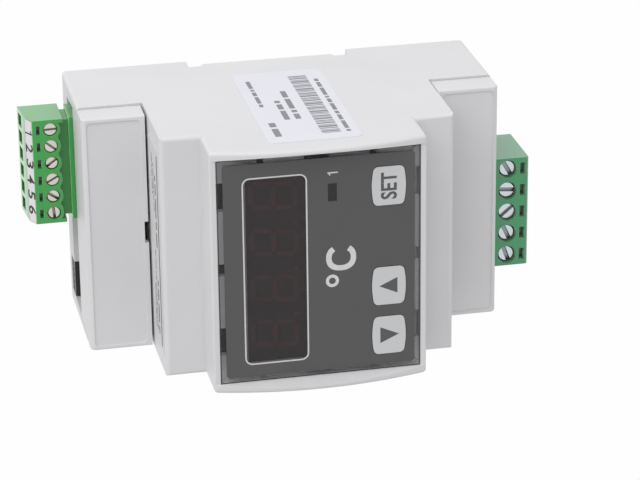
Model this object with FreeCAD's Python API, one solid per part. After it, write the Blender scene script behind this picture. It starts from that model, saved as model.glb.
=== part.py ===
"""Rail-mounted temperature controller with pluggable screw terminals.

Lengths are in millimetres. X runs along the rail, the front faces -Y and +Z is up as mounted.
The origin is the middle of the rail's front face, where the controller seats.
Inside this file a "depth" counts forwards from the back plane of the feet, and a "reach" counts
outwards from the outer face of an end wall.
"""
import FreeCAD, Part
import math
import os
from typing import NamedTuple

# Main sizes
body_length = 90.0
body_depth = 58.2

# Mouldings
wall = 1.8
base_wall = 1.6
base_play = 0.15
back_edge_radius = 1.5
corner_radius = 0.8
fillet_share = 0.8
lug_length = 6.0
lug_height = 1.6

# Rail seat, for a 35 mm top-hat rail
rail_width = 35.0
rail_thickness = 1.0
rail_play = 0.2
rail_seat_depth = 3.7
rail_pocket = 1.3
pad_inset = 3.4
pad_slope = 0.7
clip_side_slope = 0.9
hook_width = 40.0
hook_reach = 1.6

# Rail clip
clip_width = 14.0
clip_back = 0.3
clip_flange = 1.6
clip_flange_thickness = 1.0
clip_flange_length = 14.0
clip_play = 0.3
clip_tail = 2.8
clip_travel = 3.4
pry_slot_width = 5.0
pry_slot_length = 1.2
guide_roof = 1.6

# Front foil, laid out from its right and upper edges
foil_thickness = 0.25
foil_corner_radius = 0.8
foil_side_border = 1.2
foil_end_border = 1.35
display_window_width = 40.6
display_window_height = 12.5
display_side_margin = 3.4
display_top_margin = 4.6
display_to_keys = 13.9
key_width = 8.5
key_height = 7.2
key_bulge = 0.5
key_corner_radius = 1.1
key_bottom_margin = 1.9
set_key_margin = 3.0
down_key_margin = 2.4
key_gap = 2.7
lamp_window_width = 3.9
lamp_window_height = 1.9
lamp_drop = 4.7
lamp_side_margin = 5.7

# Front panel and its ledge
rim_wall = 1.95
rim_end_wall = 1.3
panel_thickness = 2.0
panel_recess = 0.1
panel_play = 0.1
ledge_width = 2.0
ledge_thickness = 1.5
side_gap_width = 5.3
side_slit_width = 1.4
side_slit_offset = 11.8
end_gap_width = 6.2
end_gap_offset = 16.1
end_slit_width = 2.7

# Keys and push switches
key_thickness = 0.12
key_rise = 0.1
key_play = 0.12
key_travel = 0.2
switch_size = 6.0
switch_height = 3.5
plunger_diameter = 3.4
plunger_hold = 1.5
plunger_play = 0.08
plunger_hole_play = 0.3

# Display
digit_count = 4
digit_pitch = 10.25
digit_height = 10.3
digit_width = 6.2
digit_slant = 0.8
segment_width = 1.1
segment_gap = 0.16
segment_thickness = 0.4
point_width = 1.1
display_thickness = 7.0
display_play = 0.2

# Housing levels
skirt_height = 4.4
cover_height = 6.6
cover_inset = 0.45
cover_gap = 0.5
cover_edge_radius = 1.2
cover_side_radius = 0.4
cover_corner_radius = 1.0
seam_groove = 0.25
seam_groove_depth = 0.6
cover_border = 1.0
cover_side_border = 0.9
cover_recess = 0.25
cover_lip = 2.0
cover_lip_thickness = 1.2
cover_play = 0.2
pry_notch_width = 4.9
pry_notch_length = 0.8
shoulder_ledge = 8.4
shoulder_edge_radius = 1.0
bezel_height = 10.5
bezel_edge_radius = 1.1
rim_rise = 3.2
rim_lean = 0.9
notch_post = 1.5
notch_play = 0.2
socket_bay_width = 8.4
socket_bay_depth = 5.0
socket_play = 0.1
socket_ways = 5
socket_pitch = 1.5
socket_hole = 0.8
socket_hole_depth = 2.4

# Boards
board_thickness = 1.6
board_standoff = 0.4
board_play = 0.5
board_rib = 1.5
tongue_thickness = 1.2
display_post = 3.0
link_board_length = 26.0
link_board_inset = 1.0

# Parts on the main board
part_gap = 2.0
transformer_width = 24.0
transformer_length = 30.0
transformer_height = 20.0
bobbin_lip = 1.5
relay_width = 10.0
relay_length = 20.0
relay_height = 15.5
capacitor_diameter = 10.0
capacitor_height = 16.0
varistor_diameter = 9.0
varistor_thickness = 4.0
chip_width = 7.5
chip_length = 12.8
chip_height = 2.3
chip_leads = 10
chip_lead_pitch = 1.27
chip_lead_width = 0.45
chip_lead_reach = 1.4
chip_lead_thickness = 0.3

# Both sockets and plugs
header_wall = 0.9
header_side_wall = 0.6
header_side = 0.2
header_depth = 9.2
header_back = 1.2
header_play = 0.3
nose_play = 0.2
nose_end_play = 0.5
pin_tail = 1.0
pin_play = 0.1
pin_tip_gap = 1.5
contact_play = 0.05
screw_play = 0.1
thread_play = 0.08
cage_play = 0.15
slot_depth = 1.5
funnel_depth = 0.8
funnel_rim = 0.4

# Six-way input plug
input_ways = 6
input_pitch = 3.81
input_side_gap = 1.5
input_header_height = 8.8
input_header_proud = 0.9
input_pin = 0.8
input_pin_height = 3.7
input_plug_height = 10.2
input_plug_drop = 0.2
input_plug_side = 0.35
input_body_reach = 3.4
input_screw_reach = 5.0
input_plug_reach = 10.9
input_end_lean = 0.8
input_chamfer_reach = 1.3
input_chamfer_depth = 2.4
input_cheek = 0.8
input_cheek_reach = 2.3
input_boss_radius = 2.15
input_head_diameter = 2.6
input_head_height = 1.4
input_head_sink = 0.5
input_well_play = 0.2
input_thread_diameter = 1.9
input_driver_width = 0.5
input_driver_depth = 0.6
input_floor = 0.8
input_bar = 0.6
input_leaf = 0.3
input_cage_width = 2.8
input_cage_length = 3.0
input_cage_side = 0.4
input_cage_sheet = 0.5
input_cage_nut = 0.9
input_slot_reach = 7.2
input_slot_width = 0.85
input_slot_length = 2.0
input_driver_angles = (178.0, 40.0, 145.0, 152.0, 35.0, 85.0)
strip_margin = 0.2
strip_thickness = 0.12

# Five-way output plug
output_ways = 5
output_pitch = 5.08
output_side_gap = 4.25
output_header_height = 12.0
output_header_proud = 0.3
output_pin = 1.0
output_pin_height = 5.9
output_plug_height = 15.0
output_plug_drop = 0.0
output_plug_side = 0.0
output_body_reach = 0.8
output_screw_reach = 4.75
output_plug_reach = 9.45
output_end_lean = 0.0
output_chamfer_reach = 0.3
output_chamfer_depth = 0.3
output_head_diameter = 3.4
output_head_height = 1.8
output_head_sink = 0.9
output_well_play = 0.35
output_thread_diameter = 2.5
output_driver_width = 0.85
output_driver_depth = 0.8
output_floor = 1.3
output_bar = 0.8
output_leaf = 0.4
output_cage_width = 3.8
output_cage_length = 4.4
output_cage_side = 0.5
output_cage_sheet = 0.8
output_cage_nut = 1.2
output_slot_reach = 7.55
output_slot_width = 1.2
output_slot_length = 2.6
output_driver_angles = (60.0, 5.0, 140.0, 65.0, 70.0)

# Labels
label_thickness = 0.12
side_label_width = 19.7
side_label_length = 43.5
side_label_depth = 12.7
side_label_radius = 1.6
step_label_margin = 4.0
step_label_border = 1.2

# Levels worked out from the sizes above
pocket_depth = rail_seat_depth + rail_pocket
base_front = pocket_depth + base_wall
board_back = base_front + board_standoff
board_face = board_back + board_thickness
seam_depth = board_face + output_header_height + header_play + skirt_height
cover_front = seam_depth + cover_height
bezel_depth = body_depth
shoulder_depth = bezel_depth - bezel_height
panel_front = bezel_depth - panel_recess
panel_back = panel_front - panel_thickness
ledge_back = panel_back - ledge_thickness
display_face = panel_back - display_play
display_board_face = display_face - display_thickness
display_board_back = display_board_face - board_thickness

# Half widths and half lengths
foil_width = display_window_width + 2 * display_side_margin
foil_length = (display_top_margin + display_window_height + display_to_keys
               + key_height + key_bottom_margin)
foil_half_x = foil_width / 2
foil_half_z = foil_length / 2
window_half_x = foil_half_x + foil_side_border
window_half_z = foil_half_z + foil_end_border
half_width = window_half_x + rim_wall
bezel_half = window_half_z + rim_end_wall
shoulder_half = bezel_half + shoulder_ledge
cover_inner = shoulder_half + cover_gap
cover_half = half_width - cover_inset
half_length = body_length / 2
inner_half_x = half_width - wall
inner_half_z = half_length - wall
base_half_x = inner_half_x - base_play
base_half_z = inner_half_z - base_play
notch_half = inner_half_x - notch_post
board_half_x = inner_half_x - board_play
board_half_z = base_half_z - tongue_thickness - board_play

# Rail slot edges along Z
slot_top = rail_width / 2 + rail_play / 2
slot_bottom = -(rail_width / 2 + rail_play)
pad_top = slot_top - pad_inset
pad_bottom = slot_bottom + pad_inset
hook_depth = rail_seat_depth - rail_thickness - rail_play

# Places of the parts on the foil
display_z = foil_half_z - display_top_margin - display_window_height / 2
key_z = key_bottom_margin + key_height / 2 - foil_half_z
set_key_x = foil_half_x - set_key_margin - key_width / 2
down_key_x = down_key_margin + key_width / 2 - foil_half_x
up_key_x = down_key_x + key_width + key_gap
lamp_x = foil_half_x - lamp_side_margin - lamp_window_width / 2
lamp_z = display_z - display_window_height / 2 - lamp_drop - lamp_window_height / 2
key_places = {"set": set_key_x, "up": up_key_x, "down": down_key_x}


class Terminal(NamedTuple):
    """Sizes of one socket with its plug."""

    end: int
    ways: int
    pitch: float
    centre: float
    header_height: float
    header_proud: float
    pin: float
    pin_height: float
    plug_height: float
    plug_drop: float
    plug_side: float
    body_reach: float
    screw_reach: float
    plug_reach: float
    end_lean: float
    chamfer_reach: float
    chamfer_depth: float
    head_diameter: float
    head_height: float
    head_sink: float
    well_play: float
    thread_diameter: float
    driver_width: float
    driver_depth: float
    driver_angles: tuple
    floor: float
    bar: float
    leaf: float
    cage_width: float
    cage_length: float
    cage_side: float
    cage_sheet: float
    cage_nut: float
    slot_reach: float
    slot_width: float
    slot_length: float
    boss_radius: float = 0.0
    cheek: float = 0.0
    cheek_reach: float = 0.0

    def places(self):
        """X of each way, from the right-hand end."""
        first = self.centre + self.pitch * (self.ways - 1) / 2
        return [first - self.pitch * way for way in range(self.ways)]

    def z(self, reach):
        """Z at a reach beyond the end wall."""
        return self.end * (half_length + reach)

    def z_limits(self, low, high):
        return tuple(sorted((self.z(low), self.z(high))))

    def half_header(self):
        return self.ways * self.pitch / 2 + header_side

    def half_plug(self):
        return self.ways * self.pitch / 2 + self.plug_side

    def header_top(self):
        return board_face + self.header_height

    def header_start(self):
        return self.header_proud - header_depth

    def pin_depth(self):
        return board_face + self.pin_height

    def plug_back(self):
        return board_face - self.plug_drop

    def plug_front(self):
        return self.plug_back() + self.plug_height

    def bar_limits(self):
        return (self.pin_depth() - self.bar / 2, self.pin_depth() + self.bar / 2)

    def bar_half(self):
        return self.cage_width / 2 - self.cage_side - cage_play

    def wire_half(self):
        return self.cage_width / 2 - self.cage_side

    def cage_back(self):
        return self.plug_back() + self.floor + cage_play

    def wire_back(self):
        return self.cage_back() + self.cage_sheet

    def cage_window_front(self):
        return self.bar_limits()[1] + cage_play

    def cage_front(self):
        return self.cage_window_front() + self.cage_nut

    def cage_travel(self):
        return self.bar_limits()[0] - self.wire_back() - cage_play

    def chamber_front(self):
        return self.cage_front() + self.cage_travel() + cage_play

    def cage_reach(self):
        half = self.cage_length / 2
        return (self.screw_reach - half, self.screw_reach + half)

    def head_seat(self):
        return self.plug_front() - self.head_sink - self.head_height

    def slope_start(self):
        """Reach and depth of the front edge of the slope at the plug's end."""
        return (self.plug_reach - self.end_lean - self.chamfer_reach, self.plug_front())

    def end_reach(self, depth):
        """Reach of the leaning end face at a depth."""
        height = self.plug_front() - self.chamfer_depth - self.plug_back()
        return self.plug_reach - self.end_lean * (depth - self.plug_back()) / height

    def nose_start(self):
        return self.header_start() + header_back + nose_end_play

    def pin_tip(self):
        return self.header_proud - pin_tip_gap


input_half_header = input_ways * input_pitch / 2 + header_side
output_half_header = output_ways * output_pitch / 2 + header_side

input_terminal = Terminal(
    end=1, ways=input_ways, pitch=input_pitch,
    centre=notch_half - input_side_gap - input_half_header,
    header_height=input_header_height, header_proud=input_header_proud,
    pin=input_pin, pin_height=input_pin_height,
    plug_height=input_plug_height, plug_drop=input_plug_drop, plug_side=input_plug_side,
    body_reach=input_body_reach, screw_reach=input_screw_reach, plug_reach=input_plug_reach,
    end_lean=input_end_lean, chamfer_reach=input_chamfer_reach, chamfer_depth=input_chamfer_depth,
    boss_radius=input_boss_radius, cheek=input_cheek, cheek_reach=input_cheek_reach,
    head_diameter=input_head_diameter, head_height=input_head_height, head_sink=input_head_sink,
    well_play=input_well_play, thread_diameter=input_thread_diameter, driver_width=input_driver_width,
    driver_depth=input_driver_depth,
    driver_angles=input_driver_angles, floor=input_floor, bar=input_bar, leaf=input_leaf,
    cage_width=input_cage_width, cage_length=input_cage_length, cage_side=input_cage_side,
    cage_sheet=input_cage_sheet, cage_nut=input_cage_nut,
    slot_reach=input_slot_reach, slot_width=input_slot_width, slot_length=input_slot_length)

output_terminal = Terminal(
    end=-1, ways=output_ways, pitch=output_pitch,
    centre=output_side_gap + output_half_header - notch_half,
    header_height=output_header_height, header_proud=output_header_proud,
    pin=output_pin, pin_height=output_pin_height,
    plug_height=output_plug_height, plug_drop=output_plug_drop, plug_side=output_plug_side,
    body_reach=output_body_reach, screw_reach=output_screw_reach, plug_reach=output_plug_reach,
    end_lean=output_end_lean, chamfer_reach=output_chamfer_reach, chamfer_depth=output_chamfer_depth,
    head_diameter=output_head_diameter, head_height=output_head_height, head_sink=output_head_sink,
    well_play=output_well_play, thread_diameter=output_thread_diameter, driver_width=output_driver_width,
    driver_depth=output_driver_depth,
    driver_angles=output_driver_angles, floor=output_floor, bar=output_bar, leaf=output_leaf,
    cage_width=output_cage_width, cage_length=output_cage_length, cage_side=output_cage_side,
    cage_sheet=output_cage_sheet, cage_nut=output_cage_nut,
    slot_reach=output_slot_reach, slot_width=output_slot_width, slot_length=output_slot_length)

terminals = {"input": input_terminal, "output": output_terminal}
over = 1.0
same_place = 0.0001
forwards = FreeCAD.Vector(0, -1, 0)


def point(x, z, depth):
    """Point of the model from its depth."""
    return FreeCAD.Vector(x, rail_seat_depth - depth, z)


def both(half, centre=0.0):
    """Limits that lie the same distance on both sides of a centre."""
    return (centre - half, centre + half)


def block(x, z, depth):
    """Box between pairs of limits."""
    size = (x[1] - x[0], depth[1] - depth[0], z[1] - z[0])
    return Part.makeBox(*size, point(x[0], z[0], depth[1]))


def rod(x, z, depth, diameter):
    """Round bar that runs forwards."""
    start = point(x, z, depth[0])
    return Part.makeCylinder(diameter / 2, depth[1] - depth[0], start, forwards)


def solid(corners, sweep):
    """Straight-sided outline swept along a vector."""
    return Part.Face(Part.makePolygon(corners + corners[:1])).extrude(sweep)


def side_profile(outline, x):
    """Outline of (z, depth) points, swept across X."""
    corners = [point(x[0], z, depth) for z, depth in outline]
    return solid(corners, FreeCAD.Vector(x[1] - x[0], 0, 0))


def front_outline(outline, depth):
    """Outline of (x, z) points, swept forwards."""
    corners = [point(x, z, depth[0]) for x, z in outline]
    return solid(corners, forwards * (depth[1] - depth[0]))


def end_outline(outline, z):
    """Outline of (x, depth) points, swept along Z."""
    corners = [point(x, z[0], depth) for x, depth in outline]
    return solid(corners, FreeCAD.Vector(0, 0, z[1] - z[0]))


def edges_at(shape, x=None, z=None, depth=None):
    """Edges whose middles lie at the given distances from the centre planes, or at a depth."""
    found = []
    for edge in shape.Edges:
        box = edge.BoundBox
        middle = box.Center
        seen = (abs(middle.x), abs(middle.z), rail_seat_depth - middle.y)
        wanted = (x, z, depth)
        if all(want is None or abs(have - want) < same_place for have, want in zip(seen, wanted)):
            found.append(edge)
    return found


def rounded_plate(x, z, depth, radius):
    """Plate with its four corners rounded in the front view."""
    plate = block(x, z, depth)
    upright = [edge for edge in plate.Edges if edge.BoundBox.YLength > edge.BoundBox.XLength
               and edge.BoundBox.YLength > edge.BoundBox.ZLength]
    return plate.makeFillet(radius, upright)


def rail_slot(x):
    """Space for the rail across the back, with a pocket on each side of the seat pad."""
    outline = [(slot_top, -over), (slot_top, pocket_depth), (pad_top + pad_slope, pocket_depth),
               (pad_top, rail_seat_depth), (pad_bottom, rail_seat_depth),
               (pad_bottom - pad_slope, pocket_depth), (slot_bottom, pocket_depth),
               (slot_bottom - clip_side_slope, -over)]
    return side_profile(outline, x)


def arched_bezel():
    """Front block whose side view ends in an arc."""
    low = point(-half_width, -bezel_half, bezel_depth)
    high = point(-half_width, bezel_half, bezel_depth)
    crown = point(-half_width, 0, bezel_depth + rim_rise)
    back_low = point(-half_width, -bezel_half, seam_depth)
    back_high = point(-half_width, bezel_half, seam_depth)
    edges = [Part.Arc(low, crown, high).toShape(), Part.makeLine(high, back_high),
             Part.makeLine(back_high, back_low), Part.makeLine(back_low, low)]
    bezel = Part.Face(Part.Wire(edges)).extrude(FreeCAD.Vector(2 * half_width, 0, 0))
    radius = min(bezel_edge_radius, fillet_share * (rim_wall - rim_lean), fillet_share * rim_end_wall)
    arcs = [edge for edge in bezel.Edges if edge.Curve.TypeId == "Part::GeomCircle"]
    ends = edges_at(bezel, z=bezel_half, depth=bezel_depth)
    corners = edges_at(bezel, x=half_width, z=bezel_half)
    return bezel.makeFillet(radius, arcs + ends + corners)


def rim_opening(front):
    """Space between the two rims, whose inner faces lean outwards."""
    flare = rim_lean * (front - bezel_depth) / rim_rise
    outline = [(-window_half_x, bezel_depth), (window_half_x, bezel_depth),
               (window_half_x + flare, front), (-window_half_x - flare, front)]
    return end_outline(outline, both(bezel_half + over))


def shoulder_block():
    """Middle step of the housing, with its front edges rounded."""
    shoulder = block(both(half_width), both(shoulder_half), (seam_depth, shoulder_depth))
    radius = min(shoulder_edge_radius, fillet_share * wall, fillet_share * shoulder_ledge)
    fronts = edges_at(shoulder, depth=shoulder_depth)
    return shoulder.makeFillet(radius, fronts)


def base_block():
    """Lowest step of the housing, with its back ends and corners rounded."""
    lower = block(both(half_width), both(half_length), (0, seam_depth))
    upright = edges_at(lower, x=half_width, z=half_length)
    lower = lower.makeFillet(min(corner_radius, fillet_share * wall), upright)
    backs = [edge for edge in edges_at(lower, depth=0)
             if abs(edge.BoundBox.Center.z) > half_length - corner_radius]
    return lower.makeFillet(min(back_edge_radius, fillet_share * wall), backs)


def end_notch(end, low, play=0.0):
    """Flared opening in an end wall, from a low depth up to the cover's seam."""
    flare = notch_post * (seam_depth - low) / (seam_depth - board_face)
    half_low = inner_half_x - flare - play
    half_high = inner_half_x - play
    outline = [(-half_low, low), (half_low, low), (half_high, seam_depth), (-half_high, seam_depth)]
    z = (half_length - wall, half_length) if end > 0 else (-half_length, wall - half_length)
    return end_outline(outline, z)


def ledge_gaps():
    """Gaps in the ledge under the front panel."""
    depth = (ledge_back, panel_back)
    side = (window_half_x - ledge_width, window_half_x)
    end = (window_half_z - ledge_width, window_half_z)
    gaps = []
    for sign in (-1, 1):
        x_side = tuple(sorted((sign * side[0], sign * side[1])))
        z_end = tuple(sorted((sign * end[0], sign * end[1])))
        gaps.append(block(x_side, both(side_gap_width / 2), depth))
        gaps.append(block(both(end_slit_width / 2), z_end, depth))
        for other in (-1, 1):
            gaps.append(block(x_side, both(side_slit_width / 2, other * side_slit_offset), depth))
            gaps.append(block(both(end_gap_width / 2, other * end_gap_offset), z_end, depth))
    return gaps


def socket_bay():
    """Bay of the service socket, through the end wall and the tray behind it."""
    x = (-notch_half, socket_bay_width - notch_half)
    z = (base_half_z - base_wall, half_length + over)
    return block(x, z, (board_face - socket_bay_depth, board_face))


def display_posts():
    """Corner posts between the ledge and the display board."""
    posts = []
    x = (inner_half_x - display_post, inner_half_x)
    z = (bezel_half - wall - display_post, bezel_half - wall)
    for sx in (-1, 1):
        for sz in (-1, 1):
            x_limits = tuple(sorted((sx * x[0], sx * x[1])))
            z_limits = tuple(sorted((sz * z[0], sz * z[1])))
            posts.append(block(x_limits, z_limits, (display_board_face, ledge_back)))
    return posts


def clip_way(play):
    """Straight way of the clip through the base and the end wall."""
    return block(both(clip_width / 2 + play), (-(half_length + over), slot_bottom + over),
                 (-over, hook_depth + play))


def clip_flange_limits():
    """Z of the clip's side flanges, whose lower ends meet the guide's stop at full travel."""
    low = base_wall - base_half_z + clip_travel + clip_play
    return (low, low + clip_flange_length)


def clip_flange_way():
    """Wider part of the clip's way, closed at its lower end."""
    low = clip_flange_limits()[0] - clip_travel - clip_play
    return block(both(clip_width / 2 + clip_flange + clip_play), (low, slot_bottom + over),
                 (hook_depth - clip_flange_thickness - clip_play, hook_depth + clip_play))


def housing():
    """Moulded shell: side walls to the back, stepped ends, arched rims, window and ledge."""
    shell = base_block().fuse(shoulder_block()).fuse(arched_bezel())
    inside_x = both(inner_half_x)
    inside_z = bezel_half - wall
    window_x = both(window_half_x)
    front = bezel_depth + rim_rise + over
    shell = shell.cut(block(inside_x, both(inner_half_z), (-over, seam_depth)))
    shell = shell.cut(block(inside_x, both(shoulder_half - wall), (-over, shoulder_depth - wall)))
    shell = shell.cut(block(inside_x, both(inside_z), (-over, ledge_back)))
    shell = shell.cut(block(both(window_half_x - ledge_width), both(window_half_z - ledge_width),
                            (-over, front)))
    shell = shell.cut(block(window_x, both(window_half_z), (panel_back, front)))
    shell = shell.cut(rim_opening(front))
    shell = shell.cut(ledge_gaps())
    shell = shell.cut(rail_slot(both(half_width + over)))
    shell = shell.cut(end_notch(1, board_face - notch_play))
    shell = shell.cut(end_notch(-1, board_face - notch_play))
    shell = shell.cut(socket_bay())
    shell = shell.cut(clip_way(2 * clip_play))
    for post in display_posts():
        shell = shell.fuse(post)
    return shell.removeSplitter()


def window_tongues():
    """Upright tongues behind the end walls that close the openings beside the sockets."""
    side = base_half_x - base_wall
    upper_left = (socket_bay_width - notch_half, beside_header(input_terminal, -1))
    lower_left = (-side, beside_header(output_terminal, -1))
    lower_right = (beside_header(output_terminal, 1), side)
    upper_z = (base_half_z - tongue_thickness, base_half_z)
    lower_z = (-base_half_z, tongue_thickness - base_half_z)
    lower_depth = (base_front - base_wall, output_terminal.header_top())
    return [block(upper_left, upper_z, (base_front - base_wall, input_terminal.header_top())),
            block(lower_left, lower_z, lower_depth), block(lower_right, lower_z, lower_depth)]


def snap_lugs():
    """Low lugs that bridge the play between the tray and the side walls."""
    upper = (slot_top + base_half_z) / 2
    lower = (slot_bottom - base_half_z) / 2
    depth = (base_front - lug_height, base_front)
    lugs = []
    for z in (upper, lower):
        lugs.append(block((base_half_x, inner_half_x), both(lug_length / 2, z), depth))
        lugs.append(block((-inner_half_x, -base_half_x), both(lug_length / 2, z), depth))
    return lugs


def beside_header(terminal, side):
    """X just clear of a socket's left or right side."""
    return terminal.centre + side * (terminal.half_header() + header_play)


def rear_base():
    """Back tray with the rail seat, the fixed hook, the clip's guide and the board ribs."""
    base = block(both(base_half_x), both(base_half_z), (0, base_front))
    base = base.cut(rail_slot(both(base_half_x + over)))
    upper_foot = (slot_top + base_wall, base_half_z - base_wall)
    lower_foot = (base_wall - base_half_z, slot_bottom - clip_side_slope - base_wall)
    inside_x = both(base_half_x - base_wall)
    base = base.cut(block(inside_x, upper_foot, (base_wall, base_front)))
    base = base.cut(block(inside_x, lower_foot, (hook_depth + clip_play + guide_roof, base_front)))
    base = base.cut([clip_way(clip_play), clip_flange_way()])
    hook = [(slot_top, 0), (slot_top, hook_depth), (slot_top - hook_reach, hook_depth),
            (slot_top - hook_reach, hook_depth - rail_thickness), (slot_top - hook_reach / 2, 0)]
    base = base.fuse(side_profile(hook, both(hook_width / 2)))
    for z in (pad_top, pad_bottom):
        rib = block(both(base_half_x - base_wall), both(board_rib / 2, z), (base_front, board_back))
        base = base.fuse(rib)
    base = base.fuse(window_tongues() + snap_lugs())
    return base.cut(socket_bay()).removeSplitter()


def din_clip():
    """Sliding rail clip with a bevelled nose and a slotted tail."""
    tail = -(half_length + clip_tail)
    nose = hook_reach - rail_width / 2
    outline = [(tail, clip_back), (tail, hook_depth), (nose, hook_depth),
               (nose, hook_depth - rail_thickness), (nose - hook_reach, clip_back)]
    clip = side_profile(outline, both(clip_width / 2))
    flange = block(both(clip_width / 2 + clip_flange), clip_flange_limits(),
                   (hook_depth - clip_flange_thickness, hook_depth))
    pry_z = (tail + pry_slot_length / 2, tail + 3 * pry_slot_length / 2)
    pry_slot = block(both(pry_slot_width / 2), pry_z, (clip_back - over, hook_depth + over))
    return clip.fuse(flange).cut(pry_slot).removeSplitter()


def terminal_cover(terminal):
    """Blind cover over one end, with a skirt that closes the end wall down to the socket."""
    end = terminal.end
    z = tuple(sorted((end * cover_inner, end * half_length)))
    cover = block(both(cover_half), z, (seam_depth, cover_front))
    outer = edges_at(cover, z=half_length, depth=cover_front)
    cover = cover.makeFillet(min(cover_edge_radius, fillet_share * wall), outer)
    plain = edges_at(cover, x=cover_half, z=cover_inner) + edges_at(cover, x=cover_half, depth=seam_depth)
    sides = [edge for edge in edges_at(cover, x=cover_half)
             if not any(edge.isSame(other) for other in plain)]
    cover = cover.makeFillet(min(cover_side_radius, fillet_share * wall), sides)
    open_z = tuple(sorted((end * (cover_inner - over), end * inner_half_z)))
    cover = cover.cut(block(both(inner_half_x), open_z, (seam_depth - over, cover_front - wall)))
    panel_z = tuple(sorted((end * (cover_inner + cover_border), end * (half_length - cover_border))))
    cover = cover.cut(rounded_plate(both(cover_half - cover_side_border), panel_z,
                                    (cover_front - cover_recess, cover_front + over), cover_corner_radius))
    groove_z = tuple(sorted((end * (cover_inner - over), end * (half_length + over))))
    groove_x = (cover_half - seam_groove_depth, cover_half + over)
    for sign in (-1, 1):
        x = tuple(sorted((sign * groove_x[0], sign * groove_x[1])))
        cover = cover.cut(block(x, groove_z, (seam_depth - over, seam_depth + seam_groove)))
    cover = cover.fuse(end_notch(end, terminal.header_top() + header_play, cover_play))
    lip_z = tuple(sorted((end * (cover_inner + wall), end * (inner_half_z - wall))))
    lip_x = (inner_half_x - cover_play - cover_lip_thickness, inner_half_x - cover_play)
    lip_depth = (seam_depth - cover_lip, cover_front - wall)
    for sign in (-1, 1):
        x = tuple(sorted((sign * lip_x[0], sign * lip_x[1])))
        root = tuple(sorted((sign * lip_x[0], sign * inner_half_x)))
        cover = cover.fuse(block(x, lip_z, lip_depth))
        cover = cover.fuse(block(root, lip_z, (seam_depth + cover_play, cover_front - wall)))
    if end > 0:
        notch_z = (cover_inner - over, cover_inner + pry_notch_length)
        notch_depth = (cover_front - wall - over, cover_front + over)
        cover = cover.cut(block(both(pry_notch_width / 2), notch_z, notch_depth))
    return cover.removeSplitter()


def key_outline(x, depth, play):
    """Key shape with a bulging top and bottom, widened by a play."""
    half_x = key_width / 2 + play
    half_z = key_height / 2 - key_bulge + play
    corners = [point(x + sx * half_x, key_z + sz * half_z, depth[0])
               for sx, sz in ((-1, -1), (1, -1), (1, 1), (-1, 1))]
    upper = point(x, key_z + half_z + key_bulge, depth[0])
    lower = point(x, key_z - half_z - key_bulge, depth[0])
    edges = [Part.Arc(corners[0], lower, corners[1]).toShape(), Part.makeLine(corners[1], corners[2]),
             Part.Arc(corners[2], upper, corners[3]).toShape(), Part.makeLine(corners[3], corners[0])]
    key = Part.Face(Part.Wire(edges)).extrude(forwards * (depth[1] - depth[0]))
    uprights = [edge for edge in key.Edges if edge.Curve.TypeId == "Part::GeomLine"
                and edge.BoundBox.XLength < same_place and edge.BoundBox.ZLength < same_place]
    return key.makeFillet(key_corner_radius + play, uprights)


def key_levels():
    """Back and front depths of a key's pad."""
    front = panel_front + foil_thickness + key_rise
    return (front - key_thickness, front)


def plunger(x):
    """Moving post of a push switch, which reaches the back of its key."""
    back = display_board_face + switch_height - plunger_hold
    return rod(x, key_z, (back, key_levels()[0]), plunger_diameter)


def key_switches():
    """Bodies of the three push switches."""
    half = switch_size / 2
    body_depth = (display_board_face, display_board_face + switch_height)
    well = (body_depth[1] - plunger_hold - key_travel - plunger_play, body_depth[1] + over)
    bodies = []
    for x in key_places.values():
        body = block(both(half, x), both(half, key_z), body_depth)
        bodies.append(body.cut(rod(x, key_z, well, plunger_diameter + 2 * plunger_play)))
    return Part.makeCompound(bodies)


def front_panel():
    """Clear plate in the front window, with a hole for each plunger."""
    panel = block(both(window_half_x - panel_play), both(window_half_z - panel_play),
                  (panel_back, panel_front))
    through = (panel_back - over, panel_front + over)
    hole_diameter = plunger_diameter + 2 * plunger_hole_play
    return panel.cut([rod(x, key_z, through, hole_diameter) for x in key_places.values()])


def overlay_foil():
    """Printed foil with openings for the display, the lamp and the keys."""
    depth = (panel_front, panel_front + foil_thickness)
    through = (panel_front - over, panel_front + over)
    foil = rounded_plate(both(foil_half_x), both(foil_half_z), depth, foil_corner_radius)
    tools = [block(both(display_window_width / 2), both(display_window_height / 2, display_z), through),
             block(both(lamp_window_width / 2, lamp_x), both(lamp_window_height / 2, lamp_z), through)]
    tools += [key_outline(x, through, key_play) for x in key_places.values()]
    return foil.cut(tools)


def display_filter():
    """Smoked film in the foil's display opening."""
    return block(both(display_window_width / 2), both(display_window_height / 2, display_z),
                 (panel_front, panel_front + foil_thickness))


def segment_outline(start, along, across, length):
    """Pointed bar from a start along a direction."""
    half = segment_width / 2
    low = segment_gap
    high = length - segment_gap
    offsets = ((low, 0), (low + half, half), (high - half, half),
               (high, 0), (high - half, -half), (low + half, -half))
    return [(start[0] + u * along[0] + v * across[0], start[1] + u * along[1] + v * across[1])
            for u, v in offsets]


def digit_segments(centre):
    """Outlines of one digit's seven segments, leaning to the right."""
    lean = digit_slant / digit_height
    half_w = (digit_width - segment_width) / 2
    half_h = (digit_height - segment_width) / 2
    outlines = []
    for level in (-1, 0, 1):
        start = (centre + level * half_h * lean - half_w, display_z + level * half_h)
        outlines.append(segment_outline(start, (1, 0), (lean, 1), 2 * half_w))
    for side in (-1, 1):
        for level in (-1, 0):
            start = (centre + side * half_w + level * half_h * lean, display_z + level * half_h)
            outlines.append(segment_outline(start, (lean, 1), (1, 0), half_h))
    return outlines


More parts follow.
